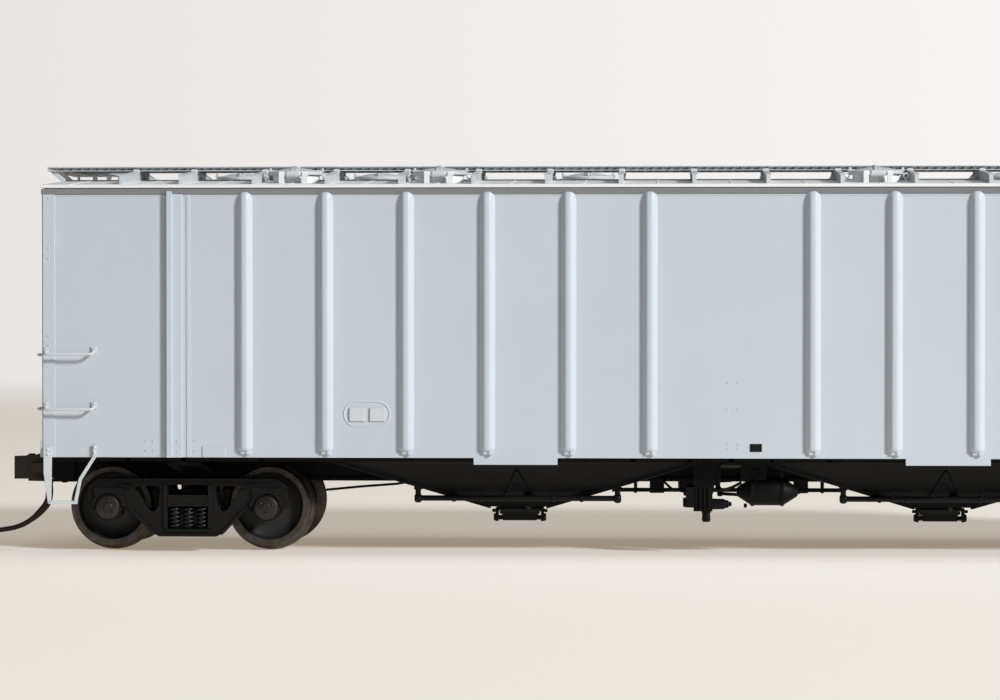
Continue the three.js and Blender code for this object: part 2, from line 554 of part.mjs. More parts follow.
// ---- assembly ----
add("body_shell", bodyShell(), GREY);
add("roof", roof(), GREY);
add("running_board", runningBoard(), GREY);
add("underframe", underframe(), BLACK);
add("ballast_weight", block([-50, -15, FLOOR_TOP + GAP], [50, 15, FLOOR_TOP + 2.6]), BARE_STEEL);
for (const [letter, end] of [["a", -1], ["b", 1]]) {
  add(`discharge_bay_${letter}`, dischargeBay(end * BAY_CENTRE), BLACK);
  add(`pneumatic_outlet_${letter}`, outlet(), BLACK).position.x = end * BAY_CENTRE;
}
add("control_valve", controlValve(), BLACK);
add("air_reservoir", airReservoir(), BLACK);
add("brake_cylinder", brakeCylinder(), BLACK);
add("brake_rigging", brakeRigging(), BLACK);
add("brake_wheel", brakeWheel(), GREY).position.set(BODY_HALF_LENGTH + 1.4, BRAKE_Y, BRAKE_Z);

const coverGeometry = { "-1": geometryOf(hatchCover(-1)), 1: geometryOf(hatchCover(1)) };
hatches.forEach(({ x, y, side }, i) => {
  const name = `hatch_cover_${String(i + 1).padStart(2, "0")}`;
  add(name, coverGeometry[side], GREY).position.set(x, y, 0);
});

// Safety appliances: the near side has grabs at end a and a ladder at end b; the far side is the same car turned round.
const ladderX = BODY_HALF_LENGTH - 3.9;
for (const [sideName, turn] of [["near", 0], ["far", Math.PI]]) {
  const sideGroup = new THREE.Group();
  sideGroup.rotation.z = turn;
  car.add(sideGroup);
  add(`side_ladder_${sideName}`, ladder(5.2, SIDE_BOTTOM + 1.8, CHORD_BOTTOM - GAP, 3.5), GREY, sideGroup)
    .position.set(ladderX, -BODY_HALF_WIDTH - 0.22, 0);
  for (const [level, z] of [["upper", RAIL_Z + 24.9], ["lower", RAIL_Z + 17.9]]) {
    add(`grab_iron_${sideName}_${level}`, grabIron(), GREY, sideGroup)
      .position.set(-BODY_HALF_LENGTH + 3.4, -BODY_HALF_WIDTH - 0.42, z);
  }
  const endLadder = add(`end_ladder_${turn ? "a" : "b"}`, ladder(5, SIDE_BOTTOM + 2.4, SIDE_TOP - 0.3, 3.5), GREY, sideGroup);
  endLadder.rotation.z = Math.PI / 2;
  endLadder.position.set(BODY_HALF_LENGTH + 0.1, -13, 0);
  add(`step_${sideName}_${turn ? "b" : "a"}`, stirrupStep(), GREY, sideGroup);
  const mirrored = stirrupStep().mirror([1, 0, 0]);
  add(`step_${sideName}_${turn ? "a" : "b"}`, mirrored, GREY, sideGroup);
}

// Couplers: end b points along +X, and end a is the same part turned round.
for (const [letter, turn] of [["a", Math.PI], ["b", 0]]) {
  const endGroup = new THREE.Group();
  endGroup.rotation.z = turn;
  car.add(endGroup);
  const head = add(`coupler_head_${letter}`, couplerHead(), COUPLER_METAL, endGroup);
  head.position.set(COUPLER_PIVOT_X, 0, COUPLER_Z);
  add(`knuckle_${letter}`, knuckle(), COUPLER_METAL, endGroup)
    .position.set(COUPLER_PIVOT_X + KNUCKLE_U, KNUCKLE_V, COUPLER_Z);
}

let axleNumber = 0;
for (const [letter, end] of [["a", -1], ["b", 1]]) {
  const truck = new THREE.Group();
  truck.position.x = end * TRUCK_CENTRE;
  car.add(truck);
  add(`truck_bolster_${letter}`, truckBolster(), BLACK, truck);
  add(`kingpin_screw_${letter}`, kingpin(), BARE_STEEL, truck);
  for (const [sideName, side] of [["near", -1], ["far", 1]]) {
    add(`side_frame_${letter}_${sideName}`, sideFrame(side), BLACK, truck);
  }
  for (const x of [-WHEELBASE / 2, WHEELBASE / 2]) {
    axleNumber += 1;
    const wheelset = new THREE.Group();
    wheelset.position.set(x, 0, FLANGE_R);
    truck.add(wheelset);
    add(`axle_${axleNumber}`, axle(), AXLE_STEEL, wheelset);
    add(`wheel_${axleNumber}_near`, wheel(-1), STEEL, wheelset);
    add(`wheel_${axleNumber}_far`, wheel(1), STEEL, wheelset);
  }
}

export default car;
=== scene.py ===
"""The looks of a 1:87 covered hopper car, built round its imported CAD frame.

Sizes are millimetres until a piece is placed.
"""
import math

import bmesh
import bpy
from mathutils import Matrix, Vector


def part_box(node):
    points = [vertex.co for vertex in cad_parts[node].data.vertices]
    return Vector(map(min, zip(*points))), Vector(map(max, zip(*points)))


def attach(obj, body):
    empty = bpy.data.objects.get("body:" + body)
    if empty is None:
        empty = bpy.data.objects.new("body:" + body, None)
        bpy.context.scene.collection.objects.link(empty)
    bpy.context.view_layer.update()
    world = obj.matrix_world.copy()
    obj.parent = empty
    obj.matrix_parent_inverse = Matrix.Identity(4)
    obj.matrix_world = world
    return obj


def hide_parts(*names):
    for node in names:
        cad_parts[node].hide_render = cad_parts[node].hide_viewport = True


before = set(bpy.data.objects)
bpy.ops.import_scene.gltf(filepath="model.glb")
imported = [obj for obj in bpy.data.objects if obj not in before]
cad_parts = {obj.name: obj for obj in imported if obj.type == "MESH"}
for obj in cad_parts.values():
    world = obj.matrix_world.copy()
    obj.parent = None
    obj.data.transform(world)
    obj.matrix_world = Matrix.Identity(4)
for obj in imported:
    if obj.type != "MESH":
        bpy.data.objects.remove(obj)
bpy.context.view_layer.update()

MM = 0.001
SHARP = math.radians(35)


class Extent:
    """Where a CAD node lies, in millimetres."""

    def __init__(self, node):
        low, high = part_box(node)
        self.low, self.high = low / MM, high / MM
        self.middle = (self.low + self.high) / 2
        self.size = self.high - self.low


SHELL = Extent("body_shell")
ROOF = Extent("roof")
ROOF_END, ROOF_LIP = ROOF.high.x, ROOF.high.y
BOARD = Extent("running_board")
FLOOR = Extent("underframe")
BODY_HALF = ROOF.high.x - 0.2
SIDE_Y = 17.9
SIDE_BOTTOM = 12.35
SIDE_TOP = SHELL.high.z
EAVE_Z = SIDE_TOP + 0.1
RIDGE_Z = BOARD.high.z - 1.7
SILL_Z = 8.65
RIB_PITCH = 10.25
SADDLE_PITCH = 9.3
TRUCK_X = Extent("kingpin_screw_b").middle.x
PIVOT_X = Extent("coupler_head_b").low.x + 1.1
WHEEL_Z = Extent("axle_1").middle.z
BAY_X = Extent("pneumatic_outlet_b").middle.x
SIDES = {"near": -1, "far": 1}
ENDS = {"a": -1, "b": 1}
HALF_TURN = Matrix.Rotation(math.pi, 4, "Z")
SILL_END = 79
RIBS_EACH_WAY = 6
JOURNAL_X = 10.2
WHEEL_BACK = 7.2
KNUCKLE_PIN = (9.4, -1.4, 0)


# ---------------------------------------------------------------- finishes
class Value:
    """A socket that sums are written on."""

    def __init__(self, finish, socket):
        self.finish = finish
        self.socket = socket

    def sum(self, operation, *terms):
        return self.finish.node("Math", {"operation": operation}, *terms)

    def __add__(self, other):
        return self.sum("ADD", self, other)

    def __sub__(self, other):
        return self.sum("SUBTRACT", self, other)

    def __rsub__(self, other):
        return self.sum("SUBTRACT", other, self)

    def __mul__(self, other):
        return self.sum("MULTIPLY", self, other)

    __radd__ = __add__
    __rmul__ = __mul__

    def between(self, low, high):
        """0 below low, 1 above high and a smooth step between."""
        sockets = {"Value": self, "From Min": low, "From Max": high}
        return self.finish.node("MapRange", {"interpolation_type": "SMOOTHSTEP"}, **sockets)


class Finish:
    """A material while its nodes are made."""

    def __init__(self, name, slot):
        self.material = bpy.data.materials.new(name)
        self.material.use_nodes = True
        self.slot = slot
        self.tree = self.material.node_tree
        self.surface = self.tree.nodes["Principled BSDF"]

    def feed(self, socket, value):
        if isinstance(value, Value):
            self.tree.links.new(value.socket, socket)
        elif isinstance(value, tuple) and len(value) == 3 and len(socket.default_value) == 4:
            socket.default_value = (*value, 1)
        else:
            socket.default_value = value

    def node(self, kind, settings=None, *numbered, output=0, **named):
        made = self.tree.nodes.new("ShaderNode" + kind)
        for key, value in (settings or {}).items():
            setattr(made, key, value)
        for place, value in enumerate(numbered):
            self.feed(made.inputs[place], value)
        for key, value in named.items():
            self.feed(made.inputs[key], value)
        return Value(self, made.outputs[output])

    def set(self, **sockets):
        for key, value in sockets.items():
            self.feed(self.surface.inputs[key.replace("_", " ")], value)

    def place(self, centre=(0, 0, 0), stretch=(1, 1, 1)):
        """Object coordinates about a centre in metres, stretched."""
        raw = self.node("TexCoord", output="Object")
        moved = self.node("VectorMath", {"operation": "SUBTRACT"}, raw, centre)
        return self.node("VectorMath", {"operation": "MULTIPLY"}, moved, stretch)

    def noise(self, where, per_mm, detail=3.0, rough=0.55):
        sockets = {"Vector": where, "Scale": per_mm / MM, "Detail": detail, "Roughness": rough}
        return self.node("TexNoise", **sockets)

    def blend(self, share, low, high):
        """A colour between two others."""
        mixed = self.node("Mix", {"data_type": "RGBA"}, share, output=2)
        inputs = mixed.socket.node.inputs
        self.feed(inputs[6], low)
        self.feed(inputs[7], high)
        return mixed

    def bump(self, height, depth_mm, strength=1.0):
        sockets = {"Strength": strength, "Distance": depth_mm * MM, "Height": height}
        self.set(Normal=self.node("Bump", **sockets))


def painted(name, colour, roughness=0.42):
    """Satin paint on moulded plastic: faint orange peel, run marks and a little dust on what faces up."""
    f = Finish(name, "body_grey")
    cloud = f.noise(f.place(), 0.035, 4)
    runs = f.noise(f.place(stretch=(1, 1, 0.06)), 0.5, 2)
    facing = f.node("SeparateXYZ", None, f.node("NewGeometry", output="Normal"), output="Z")
    dust = facing.between(0.35, 0.95) * f.noise(f.place(), 0.6, 5).between(0.35, 0.75)
    tone = f.blend(cloud.between(0.3, 0.7) * 0.6 + runs * 0.4, tuple(c * 0.95 for c in colour), colour)
    f.set(Base_Color=f.blend(dust * 0.12, tone, (0.62, 0.60, 0.56)))
    peel = f.noise(f.place(), 3.2, 2)
    f.set(Roughness=roughness - 0.04 + cloud * 0.06 + dust * 0.15, Coat_Weight=0.12, Coat_Roughness=0.25)
    f.bump(peel, 0.006, 0.5)
    return f


def moulded_black(name, colour=(0.003, 0.003, 0.0032), roughness=0.5):
    """Satin black moulded plastic with a fine grain and traces of grey dust."""
    f = Finish(name, "underframe_black")
    grain = f.noise(f.place(), 4.0, 3)
    cloud = f.noise(f.place(), 0.25, 4)
    dust = cloud.between(0.45, 0.8) * 0.35
    f.set(Base_Color=f.blend(dust, colour, (0.01, 0.0093, 0.0086)))
    f.set(Roughness=roughness - 0.08 + cloud * 0.2, Specular_IOR_Level=0.12)
    f.bump(grain, 0.01, 0.6)
    return f


def turned_wheel(name, centre):
    """Blackened wheel: a bare rim and tread with turning marks round its axle, and a dull black plate."""
    f = Finish(name, "wheel_metal")
    here = f.place(tuple(c * MM for c in centre), (1, 0, 1))
    radius = f.node("VectorMath", {"operation": "LENGTH"}, here, output="Value") * (1 / MM)
    rim = radius.between(4.38, 4.44)
    marks = f.node("Math", {"operation": "SINE"}, radius * 75)
    patches = f.noise(f.place(), 0.9, 4)
    metal = f.blend(patches.between(0.35, 0.7), (0.065, 0.055, 0.048), (0.115, 0.1, 0.088))
    oxide = f.blend(patches, (0.003, 0.003, 0.003), (0.008, 0.0075, 0.007))
    f.set(Base_Color=f.blend(rim, oxide, metal), Metallic=rim * 0.85)
    f.set(Roughness=0.58 - rim * 0.2 + patches * 0.1)
    f.bump(marks * rim * 0.5 + patches, 0.008, 0.5)
    return f


def bare_metal(name, slot, colour, roughness, metallic=0.9, grain=1.2):
    """Plain metal with clouded tone and fine scratches."""
    f = Finish(name, slot)
    patches = f.noise(f.place(), grain, 5)
    scratches = f.noise(f.place(stretch=(0.08, 1, 1)), 6.0, 2)
    f.set(Base_Color=f.blend(patches, tuple(c * 0.65 for c in colour), colour), Metallic=metallic)
    f.set(Roughness=roughness + patches * 0.2 - 0.1)
    f.bump(scratches * 0.6 + patches, 0.006, 0.5)
    return f


GREY = painted("body_paint", (0.535, 0.592, 0.655))
GREY_FITTING = painted("fitting_paint", (0.6, 0.635, 0.67), 0.38)
# A dark grey for the eave chord: painted shade standing in for the shadow under the roof lip, not a paint of
# its own.
EAVE_SHADE_GREY = painted("eave_painted_shade", (0.27, 0.285, 0.3), 0.6)
# A dark grey for the walk's strips and cross bars: painted shade for the shadow inside the open grating, not
# a paint of its own.
SHADED_GRATING = painted("grating_painted_shade", (0.17, 0.185, 0.2), 0.5)
ROOF_GREY = painted("roof_paint", (0.81, 0.84, 0.84), 0.48)
BLACK = moulded_black("underframe_plastic")
TRUCK_BLACK = moulded_black("truck_plastic", (0.0095, 0.009, 0.0085), 0.42)
PIPE_BLACK = moulded_black("pipe_plastic", (0.009, 0.009, 0.009), 0.4)
PLATE_BLACK = moulded_black("stencil_plate_black", (0.008, 0.008, 0.009), 0.55)
AXLE = bare_metal("axle_metal", "axle_metal", (0.06, 0.055, 0.05), 0.42)
CAP = bare_metal("bearing_cap_metal", "axle_metal", (0.035, 0.032, 0.03), 0.38, 0.6)
CAST = bare_metal("coupler_casting", "coupler_metal", (0.045, 0.036, 0.03), 0.5, 0.55, 2.0)
STEEL = bare_metal("weight_steel", "bare_steel", (0.45, 0.45, 0.46), 0.35)
SPRING = bare_metal("spring_metal", "axle_metal", (0.02, 0.019, 0.018), 0.42, 0.5)


# ---------------------------------------------------------------- shapes
def evaluated(obj):
    """The mesh that an object's modifiers or curve settings make. The object is then removed."""
    bpy.context.view_layer.update()
    mesh = bpy.data.meshes.new_from_object(obj.evaluated_get(bpy.context.evaluated_depsgraph_get()))
    bpy.data.objects.remove(obj)
    return mesh


def helper(data):
    obj = bpy.data.objects.new("helper", data)
    bpy.context.scene.collection.objects.link(obj)
    return obj


class Shape:
    """Solids gathered in one mesh."""

    def __init__(self):
        self.bm = bmesh.new()

    def add(self, other, matrix=Matrix()):
        """Another shape or a mesh, placed by a matrix."""
        if isinstance(other, Shape):
            mesh = bpy.data.meshes.new("part")
            other.bm.to_mesh(mesh)
        else:
            mesh = other.copy()
        mesh.transform(matrix)
        if matrix.determinant() < 0:
            mesh.flip_normals()
        self.bm.from_mesh(mesh)
        bpy.data.meshes.remove(mesh)
        return self

    def moved(self, x=0, y=0, z=0):
        return Shape().add(self, Matrix.Translation((x, y, z)))

    def mirrored(self, axis):
        scale = [-1 if i == "xyz".index(axis) else 1 for i in range(3)]
        return Shape().add(self, Matrix.Diagonal((*scale, 1)))

    def solid(self, points, loops):
        verts = [self.bm.verts.new(p) for p in points]
        faces = [self.bm.faces.new([verts[i] for i in loop]) for loop in loops]
        bmesh.ops.recalc_face_normals(self.bm, faces=faces)
        return self

    def frustum(self, low, z0, high, z1):
        """A rectangle (x0, x1, y0, y1) at z0 and another at z1."""
        points = []
        for (x0, x1, y0, y1), z in ((low, z0), (high, z1)):
            points += [(x0, y0, z), (x1, y0, z), (x1, y1, z), (x0, y1, z)]
        sides = [[i, (i + 1) % 4, 4 + (i + 1) % 4, 4 + i] for i in range(4)]
        return self.solid(points, [[3, 2, 1, 0], [4, 5, 6, 7]] + sides)

    def block(self, low, high):
        (x0, y0, z0), (x1, y1, z1) = low, high
        flat = (min(x0, x1), max(x0, x1), min(y0, y1), max(y0, y1))
        return self.frustum(flat, min(z0, z1), flat, max(z0, z1))

    def prism(self, plane, outline, low, high):
        """An outline in a plane such as "xz", carried from low to high along the third axis."""
        places = ["xyz".index(c) for c in plane]
        third = 3 - sum(places)
        points = []
        for depth in (low, high):
            for pair in outline:
                point = [depth] * 3
                point[places[0]], point[places[1]] = pair
                point[third] = depth
                points.append(point)
        n = len(outline)
        sides = [[i, (i + 1) % n, n + (i + 1) % n, n + i] for i in range(n)]
        return self.solid(points, [list(range(n)), list(range(n, 2 * n))] + sides)

    def turned(self, axis, centre, profile, steps=40):
        """A closed (radius, height) profile, from top to bottom, turned about an axis through centre."""
        mesh = bpy.data.meshes.new("profile")
        mesh.from_pydata([(r, 0, h) for r, h in profile], [(i, i + 1) for i in range(len(profile) - 1)], [])
        obj = helper(mesh)
        screw = obj.modifiers.new("turn", "SCREW")
        screw.steps = screw.render_steps = steps
        screw.use_merge_vertices = True
        screw.merge_threshold = 1e-4
        made = evaluated(obj)
        turn = {"x": Matrix.Rotation(math.pi / 2, 4, "Y"), "y": Matrix.Rotation(-math.pi / 2, 4, "X"),
                "z": Matrix()}
        return self.add(made, Matrix.Translation(centre) @ turn[axis])

    def rod(self, axis, centre, radius, low, high, steps=20, ease=0.08):
        """A round bar with eased ends, from low to high along an axis through centre."""
        e = min(ease, radius / 3)
        profile = [(0, high), (radius - e, high), (radius, high - e), (radius, low + e), (radius - e, low),
                   (0, low)]
        return self.turned(axis, centre, profile, steps)

    def wire(self, points, radius, sides=3, corner=0.0, closed=False):
        """A round wire along points, with corners rounded to a radius."""
        curve = bpy.data.curves.new("wire", "CURVE")
        curve.dimensions = "3D"
        curve.bevel_depth = radius
        curve.bevel_resolution = sides
        curve.use_fill_caps = True
        route = rounded(points, corner) if corner else [Vector(p) for p in points]
        spline = curve.splines.new("POLY")
        spline.points.add(len(route) - 1)
        for p, v in zip(spline.points, route):
            p.co = (*v, 1)
        spline.use_cyclic_u = closed
        return self.add(evaluated(helper(curve)))

    def bar(self, start, end, width, height, up=(0, 0, 1)):
        """A square bar from start to end."""
        along = Vector(end) - Vector(start)
        side = along.cross(Vector(up)).normalized() * (width / 2)
        top = side.cross(along).normalized() * (height / 2)
        points = []
        for p in (Vector(start), Vector(end)):
            points += [p - side - top, p + side - top, p + side + top, p - side + top]
        sides = [[i, (i + 1) % 4, 4 + (i + 1) % 4, 4 + i] for i in range(4)]
        return self.solid(points, [[0, 1, 2, 3], [4, 5, 6, 7]] + sides)

    def rivet(self, centre, normal, radius=0.16, height=0.11):
        """A low dome standing on a surface."""
        normal = Vector(normal)
        turn = normal.to_track_quat("Z", "Y").to_matrix().to_4x4()
        rings = [(radius, -0.05), (radius, 0.25 * height), (radius * 0.7, 0.8 * height)]
        points = []
        for r, h in rings:
            points += [(r * math.cos(a), r * math.sin(a), h) for a in (math.tau * i / 8 for i in range(8))]
        points.append((0, 0, height))
        loops = [list(range(8))]
        for k in range(2):
            loops += [[8 * k + i, 8 * k + (i + 1) % 8, 8 * k + 8 + (i + 1) % 8, 8 * k + 8 + i]
                      for i in range(8)]
        loops += [[16 + i, 16 + (i + 1) % 8, 24] for i in range(8)]
        place = Matrix.Translation(centre) @ turn
        return self.solid([place @ Vector(p) for p in points], loops)

    def cut(self, cutter):
        """This shape less another one."""
        objects = []
        for shape in (self, cutter):
            mesh = bpy.data.meshes.new("part")
            shape.bm.to_mesh(mesh)
            objects.append(helper(mesh))
        boolean = objects[0].modifiers.new("cut", "BOOLEAN")
        boolean.object = objects[1]
        boolean.solver = "EXACT"
        boolean.use_self = True
        made = evaluated(objects[0])
        bpy.data.objects.remove(objects[1])
        return Shape().add(made)


def circle(radius, count):
    """Points round a circle about (0, 0)."""
    angles = [math.tau * i / count for i in range(count)]
    return [(radius * math.cos(a), radius * math.sin(a)) for a in angles]


def rounded(points, radius, steps=5):
    """A route whose corners are arcs."""
    points = [Vector(p) for p in points]
    route = [points[0]]
    for before, here, after in zip(points, points[1:], points[2:]):
        into, out = (before - here).normalized(), (after - here).normalized()
        angle = into.angle(out)
        reach = radius / math.tan(angle / 2)
        start, end = here + into * reach, here + out * reach
        for i in range(steps + 1):
            t = i / steps
            route.append(start * (1 - t) ** 2 + here * 2 * t * (1 - t) + end * t * t)
    return route + [points[-1]]


def piece(name, shape, body, finish, replaces=(), edge=0.07):
    """A finished piece: smooth faces, eased edges, its finish, and the body that it rides on."""
    mesh = bpy.data.meshes.new(name)
    bmesh.ops.remove_doubles(shape.bm, verts=shape.bm.verts, dist=1e-4)
    shape.bm.to_mesh(mesh)
    mesh.transform(Matrix.Scale(MM, 4))
    mesh.shade_smooth()
    mesh.materials.append(finish.material)
    obj = bpy.data.objects.new(name, mesh)
    bpy.context.scene.collection.objects.link(obj)
    if edge:
        bevel = obj.modifiers.new("eased edges", "BEVEL")
        bevel.width = edge * MM
        bevel.segments = 2
        bevel.limit_method = "ANGLE"
        bevel.angle_limit = SHARP
        bevel.harden_normals = True
    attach(obj, body)
    if replaces:
        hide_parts(*replaces)
    return obj


# ---------------------------------------------------------------- body
def pressed_rib(half=0.98, proud=0.8, low=SIDE_BOTTOM + 0.7, high=SIDE_TOP - 0.2):
    """A pressed rib facing -y on a sheet at y = 0: a hat section whose ends round off into the sheet."""
    section = [(-1, 0), (-0.95, 0.06), (-0.42, 0.93), (-0.28, 1), (0.28, 1), (0.42, 0.93), (0.95, 0.06),
               (1, 0)]
    turns = [math.radians(a) for a in (20, 45, 70, 90)]
    levels = [(low, 0.02)] + [(low + 0.7 * (1 - math.cos(a)), math.sin(a)) for a in turns]
    levels += [(high - 1.5 * (1 - math.cos(a)), math.sin(a)) for a in reversed(turns)]
    levels += [(high, 0.02)]
    points = []
    for z, share in levels:
        wide = half * (0.5 + 0.5 * share)
        ring = [(u * wide, -h * proud * share, z) for u, h in section]
        points += ring + [(wide, 0.3, z), (-wide, 0.3, z)]
    n = len(section) + 2
    loops = [list(range(n)), list(range(n * (len(levels) - 1), n * len(levels)))]
    for k in range(len(levels) - 1):
        loops += [[n * k + i, n * k + (i + 1) % n, n * (k + 1) + (i + 1) % n, n * (k + 1) + i]
                  for i in range(n)]
    return Shape().solid(points, loops)


def on_side(shape, side):
    """A shape made on a sheet at y = 0, put on a side. The far side is the near side turned round."""
    near = Shape().add(shape, Matrix.Translation((0, -SIDE_Y, 0)))
    return near if side < 0 else Shape().add(near, HALF_TURN)


SIDE_STRIPS = [
    (BODY_HALF, BODY_HALF - 1.5, SIDE_BOTTOM, SIDE_TOP - 0.68, 0.13),
    (71.4, 69.5, SIDE_BOTTOM, SIDE_TOP - 0.68, 0.3),
    (71.4, 70.75, SIDE_BOTTOM, SIDE_TOP - 0.3, 0.72),
    (68.95, 68.5, SIDE_BOTTOM + 0.05, SIDE_TOP - 0.72, 0.09),
    (66.9, 64.0, SIDE_BOTTOM + 0.03, SIDE_BOTTOM + 1.4, 0.14),
]


def side_trim():
    """What stands on the near side sheet: corner and bolster strips, rivets and rib feet."""
    near = Shape().block((-BODY_HALF, -0.06, SIDE_TOP - 0.95), (BODY_HALF, 0.1, SIDE_TOP - 0.75))
    for end in ENDS.values():
        for outer, inner, low, high, proud in SIDE_STRIPS:
            near.block((end * outer, -proud, low), (end * inner, 0.2, high))
        for x, heights in ((74.1, (0.85, 2.1)), (73.2, (0.85, 2.1)), (68.8, (0.8, 2.15)),
                           (67.9, (0.8, 2.15))):
            for z in heights:
                near.rivet((end * x, 0, SIDE_BOTTOM + z), (0, -1, 0))
        for z in (0.85, 2.1):
            near.rivet((end * 70.1, -0.3, SIDE_BOTTOM + z), (0, -1, 0))
        for z in (0.5, 1.3, 14.2, 15.4, 25.2, 26.6, 32.9):
            near.rivet((end * (BODY_HALF - 0.75), -0.13, SIDE_BOTTOM + z), (0, -1, 0), 0.14)
    for x in (-0.5, 0.88):
        for z in (1.25, 1.8, 6.2, 9.6):
            near.rivet((x, 0, SIDE_BOTTOM + z), (0, -1, 0), 0.13)
    for end in ENDS.values():
        for k in range(1, RIBS_EACH_WAY + 1):
            x = end * k * RIB_PITCH
            near.block((x - 0.55, -0.34, SIDE_BOTTOM + 0.48), (x + 0.75, 0.1, SIDE_BOTTOM + 0.86))
            near.rod("y", (x + 0.42, -0.1, SIDE_BOTTOM + 0.62), 0.3, -0.42, 0.3, 12)
    return near


def end_trim():
    """What stands on the end sheets: posts with their flanges, sills, corner strips and rivets."""
    plates = []
    for y in (-7.2, 7.2):
        plates.append((y - 0.6, y + 0.6, SIDE_BOTTOM, SIDE_TOP - 0.4, 0.6))
        plates.append((y - 1.1, y + 1.1, SIDE_BOTTOM, SIDE_TOP - 0.4, 0.12))
    plates.append((-SIDE_Y, SIDE_Y, SIDE_BOTTOM, SIDE_BOTTOM + 2, 0.4))
    plates.append((-SIDE_Y, SIDE_Y, SIDE_TOP - 0.7, SIDE_TOP, 0.25))
    for y in (-SIDE_Y + 0.4, SIDE_Y - 0.4):
        plates.append((y - 0.4, y + 0.4, SIDE_BOTTOM, SIDE_TOP - 0.7, 0.14))
    details = Shape()
    for end in ENDS.values():
        for y0, y1, z0, z1, proud in plates:
            details.block((end * (BODY_HALF - 0.2), y0, z0), (end * (BODY_HALF + proud), y1, z1))
        for i in range(-8, 9):
            details.rivet((end * (BODY_HALF + 0.4), 2.05 * i, SIDE_BOTTOM + 1), (end, 0, 0), 0.15)
    return details


def make_eaves():
    chord = [(0.2, SIDE_TOP - 0.74), (-0.1, SIDE_TOP - 0.74), (-0.8, SIDE_TOP - 0.04), (-0.8, SIDE_TOP),
             (0.2, SIDE_TOP)]
    eaves = Shape()
    for side in SIDES.values():
        eaves.add(on_side(Shape().prism("yz", chord, -BODY_HALF, BODY_HALF), side))
    # The chord takes the dark grey, which is painted shade for the shadow that the roof lip casts on it.
    piece("eave_chords", eaves, "car_body", EAVE_SHADE_GREY, edge=0.04)


def make_sheets():
    sheets = Shape()
    skirt = Extent("body_shell").low.z
    out, inner = BAY_X + 5.3, BAY_X - 5.3
    outline = [(-BODY_HALF, SIDE_BOTTOM), (-out, SIDE_BOTTOM), (-out, skirt), (-inner, skirt),
               (-inner, SIDE_BOTTOM)]
    outline += [(-x, z) for x, z in reversed(outline)]
    outline += [(BODY_HALF, SIDE_TOP), (-BODY_HALF, SIDE_TOP)]
    for side in SIDES.values():
        sheets.prism("xz", outline, side * SIDE_Y, side * (SIDE_Y - 1))
    for end in ENDS.values():
        sheets.block((end * BODY_HALF, -SIDE_Y + 0.98, SIDE_BOTTOM),
                     (end * (BODY_HALF - 1), SIDE_Y - 0.98, SIDE_TOP))
    piece("body_panels", sheets, "car_body", GREY, ["body_shell"], 0.05)


def make_trim():
    details, near = Shape(), side_trim()
    for side in SIDES.values():
        details.add(on_side(near, side))
    details.add(end_trim())
    piece("body_trim", details, "car_body", GREY, edge=0.05)


def make_ribs():
    rib, ribs = pressed_rib(), Shape()
    for end in ENDS.values():
        for k in range(1, RIBS_EACH_WAY + 1):
            ribs.add(rib, Matrix.Translation((end * k * RIB_PITCH, 0, 0)))
    for name, side in SIDES.items():
        piece(f"pressed_ribs_{name}", on_side(ribs, side), "car_body", GREY, edge=0.09)


# ---------------------------------------------------------------- roof
def roof_height(y):
    return RIDGE_Z - 1.1 * abs(y) / ROOF.high.y


HATCH_NODES = [f"hatch_cover_{i:02d}" for i in range(1, 11)]


def hatch_place(node):
    """The centre of a hatch, and the side it is on."""
    box = Extent(node)
    side = -1 if box.middle.y < 0 else 1
    inner = box.low.y if side > 0 else box.high.y
    return Vector((box.middle.x, inner + side * 3.7, 0)), side


HINGE_OUT = 3.95
HINGE_Z = RIDGE_Z + 0.35


def coaming():
    """What the roof has at a hatch on the +y side, about its centre: ring, hinge ears and eye bolts."""
    s = Shape()
    top = HINGE_Z + 0.13
    profile = [(0, RIDGE_Z - 0.35), (2.45, RIDGE_Z - 0.4), (2.45, top), (2.95, top), (3.0, top - 0.08)]
    profile += [(3.0, RIDGE_Z - 1.3), (2.9, RIDGE_Z - 1.3), (0, RIDGE_Z - 1.3)]
    s.turned("z", (0, 0, 0), profile, 48)
    for x in (-1.5, 1.5):
        ear = [(3.5, RIDGE_Z - 1.2), (4.4, RIDGE_Z - 1.2), (4.38, HINGE_Z + 0.05), (4.15, HINGE_Z + 0.33),
               (3.75, HINGE_Z + 0.33), (3.52, HINGE_Z)]
        s.prism("yz", ear, x - 0.33, x + 0.33)
    for x, y in ((-3.75, 0.6), (3.75, 0.6), (0, -3.75)):
        post = Vector((x, y, 0))
        s.rod("z", (x, y, 0), 0.14, RIDGE_Z - 1.0, RIDGE_Z - 0.1, 10)
        middle = post + Vector((0, 0, RIDGE_Z + 0.15))
        ring = [middle + Vector((a, 0, b)) for a, b in circle(0.3, 14)]
        s.wire(ring, 0.1, 1, closed=True)
    return s


